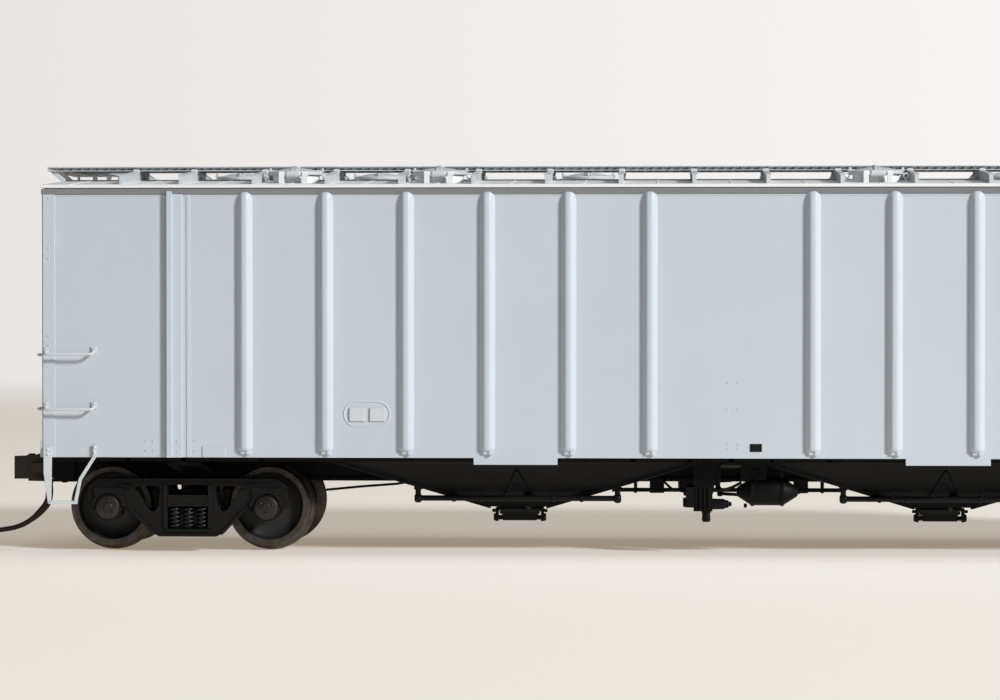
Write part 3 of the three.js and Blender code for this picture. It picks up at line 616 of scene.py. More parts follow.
def cover():
    """A hatch cover on the +y side about its hatch's centre: dome, rim, hinge strap and hold-down bar."""
    z = HINGE_Z + 0.2
    s = Shape()
    rim = [(0, z + 0.72), (0.7, z + 0.7), (1.6, z + 0.6), (2.45, z + 0.42), (2.9, z + 0.26),
           (3.38, z + 0.2), (3.5, z + 0.08)]
    rim += [(3.5, z - 0.2), (3.44, z - 0.25), (3.12, z - 0.25), (3.1, z + 0.02), (0, z + 0.04)]
    s.turned("z", (0, 0, 0), rim, 56)
    s.turned("z", (0, 0, 0), [(0, z + 1.0), (0.42, z + 0.98), (0.5, z + 0.88), (0.55, z + 0.5),
                              (0, z + 0.4)], 20)
    strap = [(-3.4, z + 0.3), (-3.1, z + 0.42), (-1.0, z + 0.82), (1.0, z + 0.82), (3.0, z + 0.42),
             (3.55, z + 0.25), (4.1, HINGE_Z + 0.12)]
    strap += [(4.1, HINGE_Z - 0.1), (3.6, z - 0.03), (3.5, z + 0.05), (2.9, z + 0.25), (0.9, z + 0.6),
              (-0.9, z + 0.6), (-3.0, z + 0.22)]
    s.prism("yz", strap, -0.42, 0.42)
    s.block((-0.85, 3.3, HINGE_Z - 0.04), (0.85, 3.95, HINGE_Z + 0.38))
    s.rod("x", (0, HINGE_OUT, HINGE_Z), 0.42, -0.88, 0.88)
    s.rod("x", (0, HINGE_OUT, HINGE_Z), 0.24, -1.95, 1.95)
    for x in (-1, 1):
        s.block((x * 2.6, -0.35, z + 0.2), (x * 3.62, 0.35, z + 0.42))
        s.rod("z", (x * 3.35, 0, 0), 0.2, z + 0.1, z + 0.68, 12)
        s.rivet((x * 0.24, 3.0, z + 0.45), (0, 0.2, 1), 0.1)
    s.rod("z", (0, -3.15, 0), 0.24, z + 0.1, z + 0.62, 12)
    return s


def make_roof_sheet():
    sheet = Shape()
    section = [(-ROOF_LIP, EAVE_Z), (ROOF_LIP, EAVE_Z), (ROOF_LIP, EAVE_Z + 0.42), (0, RIDGE_Z),
               (-ROOF_LIP, EAVE_Z + 0.42)]
    sheet.prism("yz", section, -ROOF_END, ROOF_END)
    piece("roof_sheet", sheet, "car_body", ROOF_GREY, ["roof"], 0.08)


def make_saddles():
    """The ribs across the roof that carry the running board."""
    saddles = Shape()
    eave, top = ROOF_LIP - 1.4, BOARD.high.z - 0.72
    outline = [(eave, EAVE_Z + 0.3), (eave, roof_height(eave) + 1.0),
               (eave - 0.2, roof_height(eave) + 1.18), (4.5, top)]
    outline += [(3.7, top + 0.32), (0, top + 0.32)]
    outline = outline + [(-y, z) for y, z in reversed(outline[:-1])]
    places = [(k - 0.5) * SADDLE_PITCH for k in range(1, 9)]
    places.append(places[-1] + 7.6)
    for x in places + [-p for p in places]:
        saddles.prism("yz", outline, x - 0.26, x + 0.26)
        for side in SIDES.values():
            edge = [(side * eave, roof_height(eave) + 1.12), (side * 4.5, top)]
            saddles.bar((x, *edge[0]), (x, *edge[1]), 0.74, 0.12)
            saddles.rod("x", (x, side * 4.4, top), 0.34, -0.42, 0.42, 16)
            saddles.rod("z", (x, side * 15.2, 0), 0.12, roof_height(15.2), roof_height(15.2) + 0.2, 8)
    piece("roof_saddles", saddles, "car_body", GREY_FITTING, edge=0.05)


def make_coamings():
    ring = coaming()
    rings = Shape()
    for node in HATCH_NODES:
        centre, side = hatch_place(node)
        turn = Matrix() if side > 0 else HALF_TURN
        rings.add(ring, Matrix.Translation(centre) @ turn)
    piece("hatch_coamings", rings, "car_body", ROOF_GREY, edge=0.04)


def make_seams():
    """Weld seams across and along the roof, and the feet of the side walks."""
    seams = Shape()
    for k in range(-9, 10):
        for side in SIDES.values():
            x = k * SADDLE_PITCH
            if abs(x) < ROOF_END:
                seams.bar((x, side * (ROOF_LIP - 0.1), roof_height(ROOF_LIP)), (x, 0, RIDGE_Z), 0.22, 0.1)
    seams.bar((-ROOF_END + 0.1, 0, RIDGE_Z + 0.02), (ROOF_END - 0.1, 0, RIDGE_Z + 0.02), 1.2, 0.12)
    for end in ENDS.values():
        y0 = -end * 12.3
        for x in (83.6, 85.5):
            seams.block((end * (x - 0.3), y0 - 0.25, roof_height(12) - 0.1),
                        (end * (x + 0.3), y0 + 0.25, BOARD.high.z - 0.4))
    piece("roof_seams", seams, "car_body", ROOF_GREY, edge=0.03)


def make_covers():
    made = cover()
    for node in HATCH_NODES:
        centre, side = hatch_place(node)
        turn = Matrix() if side > 0 else HALF_TURN
        placed = Shape().add(made, Matrix.Translation(centre) @ turn)
        piece(f"domed_{node}", placed, node, GREY_FITTING, [node], 0.04)


def grating(name, low, high, pitch=1.15):
    """Open roof walk between two corners: edge rails, long strips and cross bars."""
    (x0, y0), (x1, y1) = low, high
    z1, z0 = BOARD.high.z, BOARD.high.z - 0.6
    rails = Shape()
    for y in (y0 + 0.1, y1 - 0.1):
        rails.block((x0, y - 0.1, z1 - 0.14), (x1, y + 0.1, z1))
        rails.block((x0 + 0.1, y - 0.05, z0), (x1 - 0.1, y + 0.05, z0 + 0.1))
    for x in (x0 + 0.1, x1 - 0.1):
        rails.block((x - 0.1, y0 + 0.2, z0), (x + 0.1, y1 - 0.2, z1))
    piece(f"{name}_rails", rails, "car_body", GREY_FITTING, edge=0.03)
    strips = Shape()
    count = max(2, round((y1 - y0) / 0.78))
    for i in range(1, count):
        y = y0 + (y1 - y0) * i / count
        strips.block((x0 + 0.2, y - 0.13, z0 + 0.05), (x1 - 0.2, y + 0.13, z1 - 0.02))
    # The strips and cross bars are coloured dark grey as painted shade for the shadow inside the grating.
    piece(f"{name}_strips", strips, "car_body", SHADED_GRATING, edge=0.03)
    cross = Shape().block((x0 + pitch - 0.24, y0 + 0.06, z0 + 0.04), (x0 + pitch + 0.24, y1 - 0.06, z1 - 0.1))
    bars = piece(f"{name}_bars", cross, "car_body", SHADED_GRATING, edge=0.03)
    array = bars.modifiers.new("repeat", "ARRAY")
    array.use_relative_offset = False
    array.use_constant_offset = True
    array.constant_offset_displace = (pitch * MM, 0, 0)
    array.count = int((x1 - x0 - pitch / 2) / pitch)
    return bars


def make_running_board():
    half, wide = BOARD.high.x, 3.9
    main = grating("running_board", (-half, -wide), (half, wide))
    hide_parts("running_board")
    reach = BOARD.high.y
    for letter, end in ENDS.items():
        xs = sorted((end * half, end * (half - 6.8)))
        ys = sorted((-end * (wide + 0.05), -end * reach))
        grating(f"side_walk_{letter}", (xs[0], ys[0]), (xs[1], ys[1]), 1.1)


def make_walk_brackets():
    half, reach = BOARD.high.x, BOARD.high.y
    braces = Shape()
    for end in ENDS.values():
        for y in (-3.3, 3.3):
            braces.bar((end * (half - 0.5), y, BOARD.high.z - 0.5), (end * (half - 2.2), y, RIDGE_Z - 0.2),
                       0.55, 0.35, (0, 1, 0))
            braces.block((end * (half - 0.1), y - 0.4, BOARD.high.z - 0.55),
                         (end * (half - 1.2), y + 0.4, BOARD.high.z - 0.36))
        for x in (half - 0.6, half - 6.2):
            y = -end * (reach - 0.4)
            braces.wire([(end * x, y, BOARD.high.z - 0.3), (end * x, y, EAVE_Z + 0.6)], 0.2)
    piece("walk_brackets", braces, "car_body", GREY_FITTING, edge=0.05)


# ---------------------------------------------------------------- underframe
def make_underframe():
    s = Shape()
    x, y = FLOOR.high.x - 2.5, SIDE_Y - 1.1
    top = FLOOR.high.z
    s.block((-x, -y, top - 0.8), (x, y, top))
    for side in SIDES.values():
        channel = [(side * 2.4, SILL_Z), (side * 2.4, SILL_Z + 0.4), (side * 1.9, SILL_Z + 0.5),
                   (side * 1.9, top - 1.2)]
        channel += [(side * 2.4, top - 1.1), (side * 2.4, top - 0.7), (side * 1.4, top - 0.7),
                    (side * 1.4, SILL_Z)]
        s.prism("yz", channel, -SILL_END, SILL_END)
        s.block((-x, side * (y - 0.35), top - 1.5), (x, side * y, top - 0.7))
    holes = Shape()
    for end in ENDS.values():
        holes.rod("z", (end * TRUCK_X, 0, 0), 0.9, SILL_Z - 1, SILL_Z + 3, 24)
    s.add(Shape().block((-SILL_END, -2.3, SILL_Z + 0.3), (SILL_END, 2.3, SILL_Z + 0.55)).cut(holes))
    for centre in (-1, 0, 1):
        wide = 1.3 if centre == 0 else 2.2
        px = centre * TRUCK_X
        drop = SILL_Z + (1.1 if centre else 1.9)
        web = [(-y, top - 0.7), (-y, top - 1.7), (-3, drop), (3, drop), (y, top - 1.7), (y, top - 0.7)]
        s.prism("yz", web, px - 0.35, px + 0.35)
        for side in SIDES.values():
            s.bar((px, side * y, top - 1.72), (px, side * 3, drop), 2 * wide, 0.3)
            for share in (0.3, 0.6):
                z = top - 1.72 + (drop - top + 1.72) * share
                s.block((px - wide, side * (y + (3 - y) * share - 0.15), z),
                        (px + wide, side * (y + (3 - y) * share + 0.15), top - 0.7))
    for end in ENDS.values():
        plate = Shape().rod("z", (end * TRUCK_X, 0, 0), 2.4, SILL_Z, SILL_Z + 1.0, 32)
        s.add(plate.cut(holes))
        for px in (59.5, 76.6, 5.2, 12.4):
            s.block((end * px - 0.25, -y, top - 1.5), (end * px + 0.25, y, top - 0.7))
    piece("floor_and_sill", s, "car_body", BLACK, ["underframe"], 0.05)


def make_coupler_pockets():
    for letter, end in ENDS.items():
        z = Extent(f"coupler_head_{letter}").middle.z
        front = FLOOR.high.x
        s = Shape()
        box = Shape().block((end * SILL_END, -2.9, z - 1.85), (end * front, 2.9, z + 1.7))
        pocket = Shape().block((end * 80.2, -2.15, z - 0.95), (end * (front + 2), 2.15, z + 0.95))
        s.add(box.cut(pocket))
        s.rod("z", (end * PIVOT_X, 0, 0), 0.6, z - 1.2, z + 1.2, 20)
        for y in (-2.0, 2.0):
            s.rod("z", (end * (front - 1.4), y, 0), 0.42, z - 2.0, z - 1.8, 16)
        s.rod("z", (end * PIVOT_X, 0, 0), 0.75, z - 2.1, z - 1.8, 20)
        s.block((end * (front + 0.02), -3.5, z + 1.15), (end * (front - 0.6), 3.5, z + 2.1))
        for y in (-3.15, 3.15):
            s.block((end * (front - 0.4), y - 0.35, z - 1.6), (end * (front - 3), y + 0.35, z + 1.6))
        piece(f"draft_gear_box_{letter}", s, "car_body", BLACK, edge=0.06)


def make_bays():
    foot_z = Extent("discharge_bay_a").low.z
    top = FLOOR.high.z - 0.85
    for letter, end in ENDS.items():
        cx = end * BAY_X
        box = Extent(f"discharge_bay_{letter}")
        wedge = Shape().frustum((cx - 3.9, cx + 3.9, -8.5, 8.5), foot_z,
                                (box.low.x, box.high.x, -16.5, 16.5), top)
        notch = Shape().block((cx - 40, -2.5, SILL_Z - 0.1), (cx + 40, 2.5, top + 2))
        s = wedge.cut(notch)
        for side in SIDES.values():
            for toward in (-1, 1):
                low = Vector((cx + toward * 3.9, side * 8.5, foot_z))
                high = Vector((cx + toward * 25, side * 16.5, top))
                slope = (high - low).normalized()
                s.bar(low - slope * 0.3, high - slope * 1.2, 0.55, 0.55)
                s.bar(low + Vector((toward * 2, 0, 0.75)), high + Vector((0, 0, 0.75)), 0.4, 0.3)
            s.bar((cx - 3.9, side * 8.6, foot_z + 0.15), (cx + 3.9, side * 8.6, foot_z + 0.15), 0.5, 0.5)
            foot = [(cx + d, side * 9.6, foot_z + 1.05) for d in (-1.9, 1.9)]
            apex = (cx, side * 14.3, foot_z + 4.9)
            for point in foot:
                s.bar(point, apex, 0.42, 0.55)
            s.bar(foot[0], foot[1], 0.42, 0.5)
            s.bar([(a + b) / 2 for a, b in zip(foot[0], apex)],
                  [(a + b) / 2 for a, b in zip(foot[1], apex)], 0.3, 0.4)
            for d in (-1.9, 1.9):
                s.rivet((cx + d, side * 10.0, foot_z + 1.0), (0, side * 0.6, -0.8), 0.22, 0.2)
        piece(f"slope_sheets_{letter}", s, "car_body", BLACK, [f"discharge_bay_{letter}"], 0.05)


def make_outlets():
    for letter, end in ENDS.items():
        node = f"pneumatic_outlet_{letter}"
        box = Extent(node)
        cx, z = end * BAY_X, box.low.z + 1.65
        s = Shape()
        s.frustum((cx - 2.1, cx + 2.1, -4.2, 4.2), z - 1.5, (cx - 2.6, cx + 2.6, -5.6, 5.6), z)
        s.block((cx - 3.0, -5.8, z - 0.25), (cx + 3.0, 5.8, z + 0.05))
        s.block((cx - 2.2, -4.85, z - 1.62), (cx + 2.2, -3.8, z - 0.35))
        s.rod("x", (cx, -4.4, z - 1.25), 0.3, -3.0, 3.0)
        s.rod("x", (cx, -4.9, z - 0.55), 0.22, -2.6, 2.6)
        for d in (-1, 1):
            s.prism("yz", [(-4.9, z - 1.7), (-4.4, z - 1.75), (-3.95, z - 1.2), (-4.1, z + 0.1),
                           (-4.7, z + 0.1), (-4.95, z - 0.6)], cx + d * 2.75, cx + d * 3.15)
            s.rod("x", (cx + d * 3.2, -4.4, z - 1.2), 0.5, -0.2, 0.22, 6)
            s.rod("x", (cx + d * 3.3, -4.4, z - 0.35), 0.22, -0.3, 0.3, 10)
            for y in (-5.4, 5.4):
                s.rod("z", (cx + d * 2.8, y, 0), 0.22, z - 0.45, z + 0.1, 6)
        pipe_y, pipe_z = -11, 6.9
        for d in (-1, 1):
            x = cx + d * 12.8
            s.wire([(cx, pipe_y, pipe_z), (x, pipe_y, pipe_z), (x, pipe_y, pipe_z + 1.55)], 0.36, 4, 0.5)
            s.turned("z", (x, pipe_y, 0), [(0, pipe_z + 1.75), (0.5, pipe_z + 1.7), (0.55, pipe_z + 1.1),
                                           (0, pipe_z + 1.05)], 16)
            s.turned("x", (x, pipe_y, pipe_z), [(0, 0.5), (0.45, 0.45), (0.6, 0.2), (0.6, -0.2),
                                                (0.45, -0.45), (0, -0.5)], 20)
            for along in (4.6, 8.2):
                s.rod("x", (cx + d * along, pipe_y, pipe_z), 0.48, -0.25, 0.25, 16)
            for along in (5.3, 5.8, 6.3):
                s.wire([(cx + d * along, pipe_y - 0.1, pipe_z + 0.3),
                        (cx + d * (along + 0.5), pipe_y - 0.4, pipe_z + 1.1)], 0.13, 1)
        s.wire([(cx + 1.2, pipe_y, pipe_z), (cx + 1.2, -8.6, pipe_z), (cx + 1.2, -5.5, z - 0.1)], 0.42, 4,
               0.6)
        piece(f"outlet_and_manifold_{letter}", s, "car_body", PIPE_BLACK, [node], 0.05)


def make_control_valve():
    valve = Extent("control_valve")
    z = valve.low.z + 1.5
    s = Shape()
    s.block((-5.7, -14.3, z + 0.4), (-4.6, -11.9, z + 3.0))
    s.rod("x", (-5.75, -13.1, z + 1.0), 0.62, -0.3, 0.4, 18)
    s.rod("x", (-5.75, -13.1, z + 2.35), 0.5, -0.25, 0.4, 18)
    s.block((-4.7, -14.0, z - 0.1), (-2.3, -12.0, z + 3.3))
    for x in (-4.4, -3.85, -3.3, -2.75):
        s.block((x - 0.12, -14.35, z + 0.15), (x + 0.12, -11.9, z + 3.05))
    s.turned("z", (-3.1, -13.1, 0), [(0, z + 0.2), (0.62, z + 0.1), (0.62, z - 0.25), (0.5, z - 0.4),
                                     (0.55, z - 1.2), (0.45, z - 1.48), (0, z - 1.5)], 20)
    profile = [(0, 2.55), (0.28, 2.5), (0.3, 2.2), (0.5, 2.1), (0.52, 1.7), (0.66, 1.6), (0.7, 0), (0, 0)]
    s.turned("x", (-2.4, -13.1, z + 0.8), profile, 24)
    s.block((-4.6, -13.8, z + 3.2), (-1.4, -12.4, FLOOR.high.z - 1.6))
    for x in (-4.55, -1.45):
        s.block((x - 0.14, -14.1, z + 3.2), (x + 0.14, -12.1, FLOOR.high.z - 0.85))
    s.wire([(-2.4, -13.0, z + 2.6), (-0.9, -13.0, z + 2.55), (0.2, -12.6, z + 2.9), (1.4, -12.4, z + 3.5)],
           0.2, 2, 0.4)
    s.wire([(-5.9, -12.6, z + 2.35), (-7.4, -12.2, z + 2.6), (-8.4, -10, z + 3.4), (-8.4, -4, z + 3.6)],
           0.17, 2, 0.5)
    piece("valve_body", s, "car_body", BLACK, ["control_valve"], 0.06)


def make_reservoir():
    tank = Shape()
    y, z = -12.4, 7.9
    ends = [(0, 8.6), (0.5, 8.55), (0.65, 8.4), (1.7, 6.75), (1.75, 6.6), (1.75, 2.7), (1.7, 2.55),
            (0.65, 0.95), (0.5, 0.8), (0, 0.75)]
    tank.turned("x", (0, y, z), ends, 36)
    for x in (2.75, 6.55):
        tank.turned("x", (x, y, z), [(0, 0.25), (1.85, 0.22), (1.85, -0.22), (0, -0.25)], 36)
        tank.block((x - 0.2, -13.0, z + 1.5), (x + 0.2, -11.8, FLOOR.high.z - 0.8))
    tank.rod("z", (1.9, y, 0), 0.22, z - 2.05, z - 1.5, 10)
    tank.rod("x", (8.5, y, z), 0.3, -0.3, 0.4, 12)
    tank.block((1.3, -13.3, z + 1.3), (4.6, -11.5, FLOOR.high.z - 0.85))
    tank.wire([(3.2, -13.5, z + 1.2), (3.2, -13.9, z + 2.2), (3.2, -13.5, z + 2.9)], 0.14, 1)
    tank.turned("y", (3.2, -13.75, z + 2.5), [(0, 0.12), (0.4, 0.12), (0.4, -0.12), (0, -0.12)], 16)
    piece("twin_reservoir", tank, "car_body", BLACK, ["air_reservoir"], 0.05)


def make_brake_cylinder():
    cyl = Shape()
    cz = 8.15
    profile = [(0, 0.6), (0.3, 0.6), (0.4, -1.6), (0.7, -1.7), (1.9, -1.9), (1.9, -2.3), (1.62, -2.4),
               (1.62, -5.9), (1.5, -6.4), (1.0, -6.6), (0, -6.6)]
    cyl.turned("x", (0, 11.8, cz), profile, 36)
    for i in range(6):
        a = math.tau * i / 6
        cyl.rod("x", (-1.8, 11.8 + 1.72 * math.cos(a), cz + 1.72 * math.sin(a)), 0.14, -0.75, 0.1, 6)
    cyl.block((-3.6, 10.8, cz + 1.2), (-1.4, 12.8, FLOOR.high.z - 0.85))
    piece("cylinder_body", cyl, "car_body", BLACK, ["brake_cylinder"], 0.05)


def make_brake_rigging():
    rods = Shape()
    rz = Extent("brake_rigging").low.z + 0.38
    rods.rod("x", (0, 0, rz), 0.27, -15.3, 15.3, 12)
    for x, half in ((-12.2, 0.22), (-9.4, 0.95), (-5.5, 0.3), (9.4, 0.95), (12.2, 0.22)):
        rods.block((x - half, -0.38, rz - 0.32), (x + half, 0.38, SILL_Z))
        rods.rod("x", (x, 0, rz), 0.42, -half, half, 12)
    rods.wire([(-5.6, -0.3, rz + 0.2), (-4.2, -0.7, rz + 0.75), (-3.2, -0.8, rz + 0.7)], 0.24, 2)
    rods.block((-1.6, -8.8, rz - 0.1), (-1.0, 9.2, rz + 0.18))
    rods.block((5.6, -6.2, rz - 0.1), (6.2, 6.8, rz + 0.18))
    for x, y in ((-1.3, -8.6), (-1.3, 9.0), (5.9, -6.0), (5.9, 6.6), (-1.3, 0.5), (5.9, 0.5)):
        rods.rod("z", (x, y, 0), 0.34, rz - 0.35, rz + 0.4, 10)
    rods.wire([(-1.3, -8.6, rz), (2.2, -9.6, rz - 0.15), (6.5, -10.2, rz + 0.4)], 0.22, 2)
    for end in ENDS.values():
        route = [(end * x, end * 3.2, height) for x,
                 height in ((52.6, 7.5), (48, 7.95), (43.4, 8.3), (40.5, 8.8))]
        rods.wire(route, 0.17, 2, 1.5)
    piece("rods_and_levers", rods, "car_body", BLACK, ["brake_rigging"], 0.04)


# ---------------------------------------------------------------- safety appliances
def make_brake_wheel():
    box = Extent("brake_wheel")
    c = box.middle
    x = box.high.x - 0.95
    s = Shape()
    ring = [(x + 0.65, c.y + a, c.z + b) for a, b in circle(3.1, 40)]
    s.wire(ring, 0.22, 3, closed=True)
    for i in range(5):
        a = math.tau * i / 5 + 0.3
        out = Vector((0, math.cos(a), math.sin(a)))
        hub = Vector((x, c.y, c.z))
        s.wire([hub + out * far + Vector((rise, 0, 0)) for far,
                rise in ((0.4, 0.1), (1.5, 0.25), (3.05, 0.65))], 0.17, 2)
    s.turned("x", (x, c.y, c.z), [(0, 0.75), (0.35, 0.75), (0.4, 0.55), (0.7, 0.45), (0.75, 0.0),
                                  (0.4, -0.05), (0.4, -0.75), (0, -0.75)], 24)
    piece("hand_wheel", s, "brake_wheel", GREY_FITTING, ["brake_wheel"], 0.03)
    box_x = BODY_HALF
    h = Shape().block((box_x, c.y - 1.6, c.z - 2), (box_x + 1.25, c.y + 1.6, c.z + 2))
    h.prism("yz", [(c.y - 1.2, c.z - 1.9), (c.y + 1.2, c.z - 1.9), (c.y + 0.6, c.z - 3.4),
                   (c.y - 0.6, c.z - 3.4)], box_x, box_x + 0.9)
    h = h.cut(Shape().rod("x", (0, c.y, c.z), 0.48, box_x + 0.4, box_x + 3))
    h.rod("z", (box_x + 0.5, c.y, 0), 0.16, 12.6, c.z - 3.2, 10)
    for z in (c.z - 1.5, c.z + 1.5):
        for y in (c.y - 1.25, c.y + 1.25):
            h.rivet((box_x + 1.25, y, z), (1, 0, 0))
    piece("hand_brake_housing", h, "car_body", GREY_FITTING, edge=0.08)
    step = Shape().block((box_x - 0.1, c.y - 2.6, 24.2), (box_x + 2.0, c.y + 4.4, 24.45))
    for y in (c.y - 2.2, c.y + 4):
        step.bar((box_x, y, 22.6), (box_x + 1.7, y, 24.2), 0.25, 0.25, (0, 1, 0))
    piece("brake_step", step, "car_body", GREY_FITTING, edge=0.04)


def ladder_shape(width, low, high, off):
    """A ladder about x = 0 whose stiles are angles standing on y = 0 and facing -y."""
    s = Shape()
    for side in (-1, 1):
        x = side * width / 2
        s.block((x - 0.2, -off, low), (x + 0.2, -off + 0.18, high))
        s.block((x + side * 0.2, -off, low), (x + side * 0.05, 0, high))
    z = low + 1
    while z < high - 0.5:
        s.wire([(-width / 2, -off + 0.3, z), (width / 2, -off + 0.3, z)], 0.19, 2)
        for side in (-1, 1):
            s.rivet((side * width / 2, -off, z), (0, -1, 0), 0.13, 0.09)
        z += 3.5
    for z in (low + 0.5, (low + high) / 2, high - 0.5):
        for side in (-1, 1):
            s.block((side * (width / 2 + 0.2), -0.15, z - 0.3), (side * (width / 2 + 0.85), 0.25, z + 0.3))
    return s


def make_side_appliances():
    for name, side in SIDES.items():
        turn = Matrix() if side < 0 else HALF_TURN
        box = Extent(f"side_ladder_{name}")
        made = ladder_shape(5.2, box.low.z, box.high.z, 1.05)
        x = abs(box.middle.x)
        placed = Shape().add(made, turn @ Matrix.Translation((x, -SIDE_Y - 0.2, 0)))
        piece(f"ladder_{name}_side", placed, "car_body", GREY_FITTING, [f"side_ladder_{name}"], 0.04)
        for level in ("upper", "lower"):
            node = f"grab_iron_{name}_{level}"
            z = Extent(node).low.z + 0.2
            iron = Shape()
            x0, x1, y = -BODY_HALF + 0.4, -BODY_HALF + 6.5, -SIDE_Y
            iron.wire([(x0, y + 0.1, z + 0.45), (x0, y - 1.3, z), (x1, y - 1.3, z),
                       (x1, y + 0.1, z + 0.45)], 0.19, 3, 0.45)
            for x in (x0, x1):
                iron.block((x - 0.3, y - 0.22, z + 0.1), (x + 0.3, y + 0.05, z + 0.95))
                iron.rivet((x, y - 0.2, z + 0.7), (0, -1, 0), 0.14)
            piece(f"grab_{name}_{level}", Shape().add(iron, turn), "car_body", GREY_FITTING, [node], 0.03)


def make_end_appliances():
    for letter, end in ENDS.items():
        node = f"end_ladder_{letter}"
        box = Extent(node)
        made = ladder_shape(5, box.low.z, box.high.z, 0.95)
        turn = Matrix.Rotation(end * math.pi / 2, 4, "Z")
        placed = Shape().add(made, Matrix.Translation((end * (BODY_HALF + 0.1), box.middle.y, 0)) @ turn)
        piece(f"ladder_end_{letter}", placed, "car_body", GREY_FITTING, [node], 0.04)
        grabs = Shape()
        for z in (18.4, 25.3):
            x, y = end * BODY_HALF, end * 13
            route = [(x, y - 2.9, z), (x + end * 1.0, y - 2.9, z), (x + end * 1.0, y + 2.9, z),
                     (x, y + 2.9, z)]
            grabs.wire(route, 0.19, 3, 0.35)
            for dy in (-2.9, 2.9):
                grabs.block((x, y + dy - 0.4, z - 0.35), (x + end * 0.25, y + dy + 0.4, z + 0.35))
        lever_y, lever_z = -end * 16.5, SIDE_BOTTOM + 0.4
        route = [(end * (BODY_HALF + 1.2), lever_y, lever_z - 2.6),
                 (end * (BODY_HALF + 1.0), lever_y, lever_z)]
        route += [(end * (BODY_HALF + 1.0), -end * 3, lever_z),
                  (end * (BODY_HALF + 2.6), -end * 1.2, lever_z - 0.4)]
        grabs.wire(route, 0.17, 3, 0.5)
        for y in (-15, -5):
            grabs.block((end * (BODY_HALF + 0.35), end * y - 0.25, lever_z - 0.35),
                        (end * (BODY_HALF + 1.25), end * y + 0.25, lever_z + 0.3))
        piece(f"end_grabs_{letter}", grabs, "car_body", GREY_FITTING, edge=0.03)
        deck = Shape().block((end * (BODY_HALF + 0.45), -8.2, SIDE_BOTTOM + 2.3),
                             (end * (BODY_HALF + 1.9), 8.2, SIDE_BOTTOM + 2.55))
        for y in (-7.2, 7.2):
            deck.bar((end * (BODY_HALF + 0.5), y, SIDE_BOTTOM + 1.0),
                     (end * (BODY_HALF + 1.7), y, SIDE_BOTTOM + 2.3), 0.3, 0.3, (0, 1, 0))
        piece(f"end_platform_{letter}", deck, "car_body", GREY_FITTING, edge=0.04)


def make_stirrups():
    for name, side in SIDES.items():
        for letter, end in ENDS.items():
            node = f"step_{name}_{letter}"
            s = Shape()
            left, foot, y = BODY_HALF, 6.4, -SIDE_Y - 0.12
            outer = [(left - 0.08, SIDE_BOTTOM + 1.35), (left - 0.08, SIDE_BOTTOM - 2),
                     (left - 0.55, foot + 0.55)]
            outer += [(left - 1.05, foot + 0.55), (left - 1.15, SIDE_BOTTOM + 1.35)]
            s.prism("xz", [(end * a, b) for a, b in outer], y - 0.28, y + 0.05)
            strap = [(left - 0.8, foot + 0.75), (left - 0.8, foot + 0.22), (left - 4.15, foot + 0.22),
                     (left - 4.75, foot + 3.15)]
            strap += [(left - 6.6, SIDE_BOTTOM + 0.1), (left - 6.6, SIDE_BOTTOM + 1.6)]
            for (xa, za), (xb, zb) in zip(strap, strap[1:]):
                s.bar((end * xa, y - 0.12, za), (end * xb, y - 0.12, zb), 0.42, 0.34, (0, 1, 0))
            for xa, za in strap[1:-1]:
                s.rod("y", (end * xa, y - 0.12, za), 0.2, -0.17, 0.17, 16)
            s.block((end * (left - 0.7), y - 0.3, foot), (end * (left - 4.25), y + 1.05, foot + 0.2))
            for xa, za in ((left - 6.6, SIDE_BOTTOM + 1.3), (left - 0.6, SIDE_BOTTOM + 1.0),
                           (left - 0.6, SIDE_BOTTOM + 0.4)):
                s.rivet((end * xa, y - 0.28, za), (0, -1, 0), 0.2, 0.16)
            s.rivet((end * (left - 6.6), y - 0.28, SIDE_BOTTOM + 0.6), (0, -1, 0), 0.16, 0.12)
            placed = s if side < 0 else s.mirrored("y")
            piece(f"stirrup_{name}_{letter}", placed, "car_body", GREY_FITTING, [node], 0.05)


# ---------------------------------------------------------------- couplers
def coupler_shape():
    """A coupler's shank and head about its pivot, facing +x."""
    s = Shape()
    shank = [(-1.1, -0.6), (-0.7, -1), (6.6, -1), (6.6, 1), (-0.7, 1), (-1.1, 0.6)]
    s.prism("xy", shank, -0.72, 0.72)
    s = s.cut(Shape().rod("z", (0, 0, 0), 0.66, -2, 2, 28))
    body = [(6.3, -0.95), (7.7, -1.9), (8.3, -1.9), (8.35, -0.5), (8.7, 0.1), (9.4, 0.6), (10.3, 1.1),
            (11, 1.75), (11.1, 2.2)]
    body += [(10.4, 2.38), (9.4, 2.35), (7.7, 1.9), (6.3, 0.95)]
    s.prism("xy", body, -1.5, 1.5)
    ear = [(8.15, -1.95), (9.2, -2.15), (9.85, -2.0), (10.1, -1.4), (9.9, -0.85), (9.5, -0.7), (8.2, -0.6)]
    for low, high in ((-1.5, -1.07), (1.07, 1.5)):
        s.prism("xy", ear, low, high)
    s = s.cut(Shape().rod("z", KNUCKLE_PIN, 0.4, -3, 3, 20))
    s.block((7.1, -1.3, 1.45), (8.2, 1.5, 1.72))
    s.block((7.0, 1.5, -0.6), (9.0, 2.5, 0.6))
    s.block((6.4, -1.15, -0.9), (7.3, 1.15, 0.9))
    return s


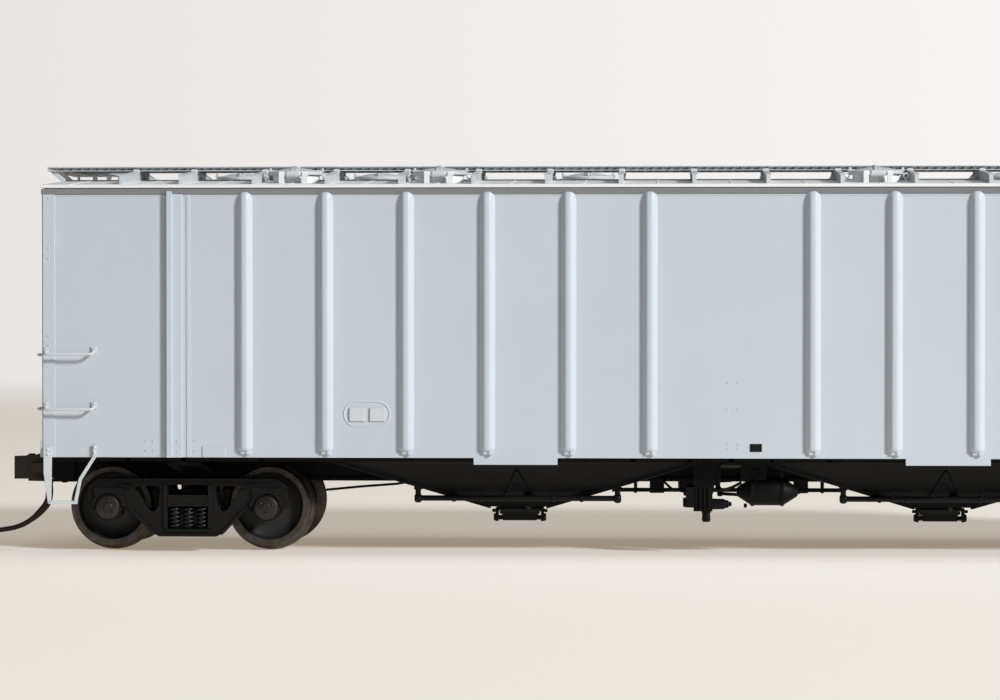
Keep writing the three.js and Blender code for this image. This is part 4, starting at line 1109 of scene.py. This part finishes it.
def knuckle_shape():
    """A knuckle about its pin, with its tail and trip pin."""
    k = Shape()
    claw = [(-0.55, -0.45), (-0.25, -0.68), (0.25, -0.74), (1.3, -0.35), (1.75, 0.3), (1.8, 0.8),
            (1.7, 1.15), (1.35, 1.4), (1.05, 1.3)]
    claw += [(0.95, 1.15), (0.95, 0.75), (0.45, 0.5), (-0.4, 0.5)]
    k.prism("xy", claw, -0.95, 0.95)
    k.rod("z", (0, 0, 0), 0.33, -1.9, 1.6)
    k.rod("z", (0, 0, 0), 0.5, 1.52, 1.66, 16)
    k.prism("xy", [(0.45, -0.4), (0.45, 0.4), (-2.2, 1.5), (-2.75, 1.5), (-2.85, 0.75), (-2.4, 0.6)], -1.95,
            -1.6)
    k.rod("z", (-2.5, 1.05, 0), 0.5, -2.3, -1.6, 18)
    route = [(-2.5, 1.05, -1.9), (-2.5, 1.05, -3.4), (-2.25, 1, -4.7), (-1.35, 0.95, -5.9),
             (0.1, 0.95, -7.15), (1.7, 1, -7.95), (4.2, 1.1, -8.45)]
    k.add(tapered_pin(route, [0.42, 0.5, 0.5, 0.46, 0.34, 0.33, 0.33]))
    return k


def make_couplers():
    for letter, end in ENDS.items():
        head_box = Extent(f"coupler_head_{letter}")
        z = head_box.middle.z
        turn = Matrix() if end > 0 else HALF_TURN
        place = turn @ Matrix.Translation((PIVOT_X, 0, z))
        s = coupler_shape()
        piece(f"coupler_casting_{letter}", Shape().add(s, place), f"coupler_{letter}", CAST,
              [f"coupler_head_{letter}"], 0.09)

        k = knuckle_shape()
        knuckle_place = place @ Matrix.Translation(KNUCKLE_PIN)
        piece(f"knuckle_and_pin_{letter}", Shape().add(k, knuckle_place), f"knuckle_{letter}", CAST,
              [f"knuckle_{letter}"], 0.07)


def tapered_pin(route, radii):
    """A smooth round pin along a route, with its own radius at each point."""
    curve = bpy.data.curves.new("pin", "CURVE")
    curve.dimensions = "3D"
    curve.bevel_depth = 1
    curve.bevel_resolution = 3
    curve.resolution_u = 6
    curve.use_fill_caps = True
    spline = curve.splines.new("BEZIER")
    spline.bezier_points.add(len(route) - 1)
    for p, v, r in zip(spline.bezier_points, route, radii):
        p.co = v
        p.radius = r
        p.handle_left_type = p.handle_right_type = "AUTO"
    return Shape().add(evaluated(helper(curve)))


# ---------------------------------------------------------------- trucks
def side_frame_shape():
    """A near side frame about its truck's centre: a trussed casting with windows and journal housings."""
    outline = [(-12.9, 7.4), (-12.7, 8.6), (-12.0, 9.15), (-11.2, 9.35), (11.2, 9.35), (12.0, 9.15),
               (12.7, 8.6), (12.9, 7.4)]
    outline += [(12.75, 5.6), (12.2, 5.3), (12.1, 6.6), (11.3, 7.6), (9.1, 7.6), (8.3, 6.6), (8.2, 5.4),
                (7.3, 5.7)]
    outline += [(4.35, 2.3), (3.75, 2.0)]
    outline += [(-x, z) for x, z in reversed(outline[8:])]
    frame_plate = Shape().prism("xz", outline, -12.85, -11.45)
    holes = Shape()
    holes.prism("xz", [(-2.6, 2.95), (-2.6, 8.45), (-2.45, 8.6), (2.45, 8.6), (2.6, 8.45), (2.6, 2.95)],
                -14, -10)
    left = [(-6.9, 8.15), (-6.6, 8.45), (-3.75, 8.5), (-3.55, 8.3), (-3.75, 6.0), (-4.25, 5.2),
            (-4.7, 5.15), (-5.1, 5.4)]
    holes.prism("xz", left, -14, -10)
    holes.prism("xz", [(-x, z) for x, z in left], -14, -10)
    s = frame_plate.cut(holes)

    def flange(points, wide=0.32):
        for (xa, za), (xb, zb) in zip(points, points[1:]):
            s.bar((xa, -12.3, za), (xb, -12.3, zb), 2.0, wide, (0, 0, 1) if abs(xb - xa) > 0.2 else (1, 0, 0))

    flange([(-11.6, 9.3), (11.6, 9.3)])
    flange([(-3.7, 2.15), (3.7, 2.15)])
    for d in (-1, 1):
        flange([(d * 7.4, 5.6), (d * 4.3, 2.3)])
        flange([(d * 8.6, 8.6), (d * 7.1, 8.35)], 0.2)
        s.block((d * 2.62, -13.1, 3.0), (d * 3.15, -11.3, 8.6))
        cx = d * JOURNAL_X
        arch = [(cx + a, WHEEL_Z + 0.1 + b) for a, b in circle(2.15, 24)[:13]]
        inner = [(cx + a, WHEEL_Z + 0.1 + b) for a, b in circle(1.72, 24)[12::-1]]
        s.prism("xz", arch + inner, -13.35, -11.2)
        s.block((cx - 1.9, -13.2, WHEEL_Z + 1.55), (cx + 1.9, -11.4, WHEEL_Z + 2.5))
        ring = Shape().turned("y", (cx, -12.2, WHEEL_Z),
                              [(0, 0.95), (1.7, 0.95), (1.75, 0.85), (1.75, -1.0), (0, -1.0)], 36)
        s.add(ring.cut(Shape().rod("y", (cx, -12.2, WHEEL_Z), 0.6, -2, 2, 20)))
        s.block((cx - d * 3.1, -12.9, WHEEL_Z - 0.6), (cx - d * 2.0, -11.6, WHEEL_Z + 0.5))
        s.rivet((cx - d * 2.55, -12.9, WHEEL_Z - 0.05), (0, -1, 0), 0.28, 0.2)
        for x, z in ((5.6, 9.0), (8.9, 8.2)):
            s.rivet((d * x, -12.85, z), (0, -1, 0), 0.2, 0.12)
    s.block((-2.75, -13.0, 2.55), (2.75, -11.2, 2.95))
    return s


def coil(x, y, low, high, radius=0.66, wire=0.17, turns=5.5):
    """One truck spring."""
    steps = int(turns * 14)
    route = []
    for i in range(steps + 1):
        a = math.tau * turns * i / steps
        route.append((x + radius * math.cos(a), y + radius * math.sin(a), low + (high - low) * i / steps))
    return Shape().wire(route, wire, 1)


def bolster_shape(cx):
    """A truck's bolster with its centre bowl, brake beams and shoes."""
    s = Shape()
    s.block((cx - 2.1, -10.7, 5.2), (cx + 2.1, 10.7, 7.6))
    s.block((cx - 3.2, -10.3, 4.2), (cx + 3.2, -9.7, 7.9))
    s.block((cx - 3.2, 9.7, 4.2), (cx + 3.2, 10.3, 7.9))
    s.rod("z", (cx, 0, 0), 2.6, 7.0, 8.5, 36)
    for side in (-1, 1):
        s.block((cx - 2.4, side * 10.6, 5.9), (cx + 2.4, side * 13.0, 7.25))
        s.block((cx - 2.55, side * 12.85, 5.85), (cx + 2.55, side * 13.15, 6.1))
        s.block((cx - 2.55, side * 12.85, 7.05), (cx + 2.55, side * 13.15, 7.3))
        for x in (-2.45, 2.45):
            s.block((cx + x - 0.12, side * 12.85, 5.85), (cx + x + 0.12, side * 13.15, 7.3))
        s.rod("z", (cx, side * 7.5, 0), 1.1, 7.3, 7.95, 20)
    hole = Shape().rod("z", (cx, 0, 0), 1.15, 3, 9, 28)
    hole.rod("z", (cx, 0, 0), 1.9, 4, 6.1, 28)
    s = s.cut(hole)
    for toward in (-1, 1):
        x = cx + toward * 4.0
        s.bar((x, -9.3, 5.0), (x, 9.3, 5.0), 0.5, 0.5)
        s.bar((x, -9.0, 4.9), (cx + toward * 2.9, 0, 5.4), 0.4, 0.4)
        s.bar((x, 9.0, 4.9), (cx + toward * 2.9, 0, 5.4), 0.4, 0.4)
        for side in (-1, 1):
            wheel_x = cx + toward * JOURNAL_X
            radius = [5.36, 6.0]
            arc = [math.radians(a) for a in range(-14, 25, 6)]
            shoe = [(wheel_x - toward * radius[0] * math.cos(a), WHEEL_Z + radius[0] * math.sin(a))
                    for a in arc]
            shoe += [(wheel_x - toward * radius[1] * math.cos(a), WHEEL_Z + radius[1] * math.sin(a))
                     for a in reversed(arc)]
            s.prism("xz", shoe, side * 8.1, side * 9.5)
            s.bar((x - toward * 0.2, side * 8.8, 5.4), (cx + toward * 3.2, side * 11.6, 8.4), 0.35, 0.35)
    return s


def make_trucks():
    made = side_frame_shape()
    nest = Shape()
    for x in (-1.75, 0, 1.75):
        nest.add(coil(x, -12.2, 2.95, 5.85))
        nest.rod("z", (x, -12.2, 0), 0.4, 2.9, 5.9, 12)
    for x in (-1.75, -0.88, 0, 0.88, 1.75):
        nest.rod("z", (x, -11.55, 0), 0.56, 2.9, 5.9, 16)
    for x in (-2.62, 2.62):
        nest.block((x - 0.3, -11.9, 2.9), (x + 0.3, -11.3, 5.9))
    for letter in ENDS:
        cx = Extent(f"kingpin_screw_{letter}").middle.x
        body = f"truck_{letter}"
        for name, side in SIDES.items():
            node = f"side_frame_{letter}_{name}"
            turn = Matrix.Translation((cx, 0, 0)) @ (Matrix() if side < 0 else HALF_TURN)
            piece(f"truck_side_{letter}_{name}", Shape().add(made, turn), body, TRUCK_BLACK, [node], 0.08)
            piece(f"springs_{letter}_{name}", Shape().add(nest, turn), body, SPRING, edge=0)
        s = bolster_shape(cx)
        piece(f"bolster_and_brake_beams_{letter}", s, body, TRUCK_BLACK, [f"truck_bolster_{letter}"], 0.06)
        box = Extent(f"kingpin_screw_{letter}")
        screw = Shape().turned("z", (cx, 0, 0), [(0, box.high.z), (0.72, box.high.z),
                                                 (0.8, box.high.z - 0.2), (0.8, 5.5), (1.6, 5.45),
                                                 (1.6, 4.8), (1.3, 4.6), (0, 4.6)], 28)
        slots = Shape().block((cx - 1.3, -0.18, 4), (cx + 1.3, 0.18, 4.95)).block((cx - 0.18, -1.3, 4),
                                                                                  (cx + 0.18, 1.3, 4.95))
        piece(f"pan_screw_{letter}", screw.cut(slots), body, STEEL, [f"kingpin_screw_{letter}"], 0.04)


def wheel_shape():
    """The +y wheel of an axle through the origin."""
    profile = [(1.0, 2.55), (1.45, 2.5), (1.62, 2.3), (1.75, 1.75), (2.6, 1.45), (3.5, 1.55), (4.05, 1.95),
               (4.22, 2.6), (4.3, 2.8)]
    profile += [(5.02, 2.8), (5.12, 2.7), (5.2, 1.15), (5.27, 0.98), (5.5, 0.85), (5.68, 0.62), (5.75, 0.4),
                (5.68, 0.15), (5.5, 0.02)]
    profile += [(4.4, 0), (4.25, 0.15), (4.1, 0.85), (3.4, 1.05), (2.4, 0.9), (1.7, 0.4), (1.5, 0.1),
                (1.0, 0.1), (1.0, 2.55)]
    return Shape().turned("y", (0, WHEEL_BACK, 0), profile, 72)


def axle_shape(c):
    """An axle through a point, waisted in the middle and pointed at its ends."""
    half = [(0.98, 6.9), (0.98, 10.0), (0.85, 10.4), (0.5, 10.7), (0.5, 13.4)]
    centre = [(0.98, 7.0), (0.75, 4.5), (0.7, 0)]
    profile = [(0, 13.5), (0.45, 13.5)] + half[::-1] + centre + [(r, -h) for r,
                                                                 h in (centre[::-1] + half)] + [(0.45,
                                                                                                 -13.5),
                                                                                                (0, -13.5)]
    axle = Shape().turned("y", (c.x, 0, c.z), profile, 32)
    return axle


def caps_shape(c, k):
    """The bearing caps at both ends of an axle, with their bolts turned to an angle of their own."""
    caps = Shape()
    for side in (-1, 1):
        cap = Shape().turned("y", (0, 0, 0), [(0, 14.05), (0.5, 14.05), (0.6, 13.95), (1.15, 13.92),
                                              (1.45, 13.8), (1.55, 13.55), (1.55, 13.28), (0, 13.28)], 36)
        for i in range(3):
            a = math.tau * i / 3 + 0.5 + k
            cap.rod("y", (0.85 * math.cos(a), 0, 0.85 * math.sin(a)), 0.24, 13.8, 14.1, 6)
        if side < 0:
            cap = cap.mirrored("y")
        caps.add(cap.moved(c.x, 0, c.z))
    return caps


def make_wheelsets():
    for k in range(1, 5):
        c = Extent(f"axle_{k}").middle
        body = f"wheelset_{k}"
        finish = turned_wheel(f"wheel_metal_{k}", c)
        for name, side in SIDES.items():
            node = f"wheel_{k}_{name}"
            wheel = wheel_shape()
            if side < 0:
                wheel = wheel.mirrored("y")
            piece(f"turned_{node}", wheel.moved(c.x, 0, c.z), body, finish, [node], 0.03)
        axle = axle_shape(c)
        piece(f"axle_bar_{k}", axle, body, AXLE, [f"axle_{k}"], 0.03)
        caps = caps_shape(c, k)
        piece(f"bearing_caps_{k}", caps, body, CAP, edge=0.03)


def make_small_plates():
    plates = Shape()
    near = Shape()
    near.block((2.35, -0.08, 13.2), (3.85, 0.1, 14.2))
    for side in SIDES.values():
        plates.add(on_side(near, side))
    piece("stencil_plates", plates, "car_body", PLATE_BLACK, edge=0.03)
    boards = Shape()
    near = Shape()
    for x0, x1, z0, z1 in ((-48.2, -46.3, 17.0, 18.7), (-45.6, -43.7, 17.0, 18.7)):
        near.block((x0, -0.22, z0), (x1, 0.1, z1))
        near.rivet((x0 + 0.2, -0.22, z1 - 0.2), (0, -1, 0), 0.09, 0.06)
        near.rivet((x1 - 0.2, -0.22, z1 - 0.2), (0, -1, 0), 0.09, 0.06)
    oval = []
    for d in (1, -1):
        for i in range(12):
            a = math.pi * i / 11 - d * math.pi / 2
            oval.append((-46 + 1.4 * d + 1.5 * math.cos(a), 0, 17.9 + 1.55 * math.sin(a)))
    near.wire(oval, 0.1, 2, closed=True)
    for side in SIDES.values():
        boards.add(on_side(near, side))
    piece("routing_boards", boards, "car_body", GREY_FITTING, edge=0.04)


def dress_ballast():
    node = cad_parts["ballast_weight"]
    node.data.materials.clear()
    node.data.materials.append(STEEL.material)


# ---------------------------------------------------------------- studio
KEY = 31.0
TOP = 2.6
AMBIENT = 0.09
FLOOR_COLOUR = (0.62, 0.64, 0.65)
WALL_LEFT = (0.81, 0.78, 0.765, 1)
WALL_RIGHT = (0.935, 0.915, 0.905, 1)
LENS = 126.4
CAMERA_PLACE = (-0.008, -0.4606, 0.03235)
CAMERA_PITCH = -0.82
CAMERA_YAW = 2.735


def pale_paper():
    """The floor's finish. It has a faint warm glow, and clears with distance so that no edge shows."""
    f = Finish("studio_floor", "")
    reach = f.node("VectorMath", {"operation": "LENGTH"}, f.place(), output="Value")
    f.set(Base_Color=FLOOR_COLOUR, Roughness=0.9, Emission_Color=(1, 0.83, 0.62), Emission_Strength=0.32)
    clear = f.node("BsdfTransparent", output="BSDF")
    body = Value(f, f.surface.outputs[0])
    mixed = f.node("MixShader", None, reach.between(0.35, 1.1), body, clear)
    f.tree.links.new(mixed.socket, f.tree.nodes["Material Output"].inputs["Surface"])
    return f


def make_floor():
    mesh = bpy.data.meshes.new("floor")
    far = 3
    mesh.from_pydata([(-far, -far, 0), (far, -far, 0), (far, far, 0), (-far, far, 0)], [], [(0, 1, 2, 3)])
    floor = bpy.data.objects.new("studio_floor", mesh)
    bpy.context.scene.collection.objects.link(floor)
    mesh.materials.append(pale_paper().material)


def lamp(name, place, aim, size, power, colour=(1, 1, 1)):
    data = bpy.data.lights.new(name, "AREA")
    data.shape = "RECTANGLE"
    data.size, data.size_y = size
    data.energy = power
    data.color = colour
    obj = bpy.data.objects.new(name, data)
    bpy.context.scene.collection.objects.link(obj)
    obj.location = place
    obj.rotation_euler = (Vector(aim) - Vector(place)).to_track_quat("-Z", "Y").to_euler()


def make_lamps():
    lamp("key", (1.15, -0.95, 0.75), (0, 0, 0.02), (0.24, 0.24), KEY, (1, 0.985, 0.965))
    lamp("top", (0.1, 0.1, 1.0), (0, 0, 0), (0.9, 0.9), TOP)


def make_backdrop():
    """A dim light from all round, and the pale wall that only the camera sees."""
    world = bpy.data.worlds.new("studio")
    bpy.context.scene.world = world
    world.use_nodes = True
    nodes, links = world.node_tree.nodes, world.node_tree.links
    light = nodes["Background"]
    light.inputs["Color"].default_value = (0.93, 0.96, 1.0, 1)
    light.inputs["Strength"].default_value = AMBIENT
    place, parts = nodes.new("ShaderNodeTexCoord"), nodes.new("ShaderNodeSeparateXYZ")
    across, tint = nodes.new("ShaderNodeMapRange"), nodes.new("ShaderNodeMix")
    across.inputs["From Min"].default_value = -0.22
    across.inputs["From Max"].default_value = 0.12
    tint.data_type = "RGBA"
    tint.inputs[6].default_value = WALL_LEFT
    tint.inputs[7].default_value = WALL_RIGHT
    seen = nodes.new("ShaderNodeBackground")
    links.new(place.outputs["Generated"], parts.inputs[0])
    links.new(parts.outputs["X"], across.inputs["Value"])
    links.new(across.outputs["Result"], tint.inputs["Factor"])
    links.new(tint.outputs[2], seen.inputs["Color"])
    path, mix = nodes.new("ShaderNodeLightPath"), nodes.new("ShaderNodeMixShader")
    links.new(path.outputs["Is Camera Ray"], mix.inputs[0])
    links.new(light.outputs[0], mix.inputs[1])
    links.new(seen.outputs[0], mix.inputs[2])
    links.new(mix.outputs[0], nodes["World Output"].inputs["Surface"])
    bpy.context.scene.view_settings.view_transform = "Standard"


def make_camera():
    camera = bpy.data.cameras.new("camera")
    camera.sensor_width = 36
    camera.lens = LENS
    camera.clip_start = 0.01
    obj = bpy.data.objects.new("camera", camera)
    bpy.context.scene.collection.objects.link(obj)
    obj.location = CAMERA_PLACE
    obj.rotation_euler = (math.pi / 2 + math.radians(CAMERA_PITCH), 0, math.radians(CAMERA_YAW))
    bpy.context.scene.camera = obj


make_floor()
make_lamps()
make_backdrop()
make_camera()
make_eaves()
make_sheets()
make_trim()
make_ribs()
make_roof_sheet()
make_saddles()
make_coamings()
make_seams()
make_covers()
make_running_board()
make_walk_brackets()
make_underframe()
make_coupler_pockets()
make_bays()
make_outlets()
make_control_valve()
make_reservoir()
make_brake_cylinder()
make_brake_rigging()
make_brake_wheel()
make_side_appliances()
make_end_appliances()
make_stirrups()
make_couplers()
make_trucks()
make_wheelsets()
make_small_plates()
dress_ballast()
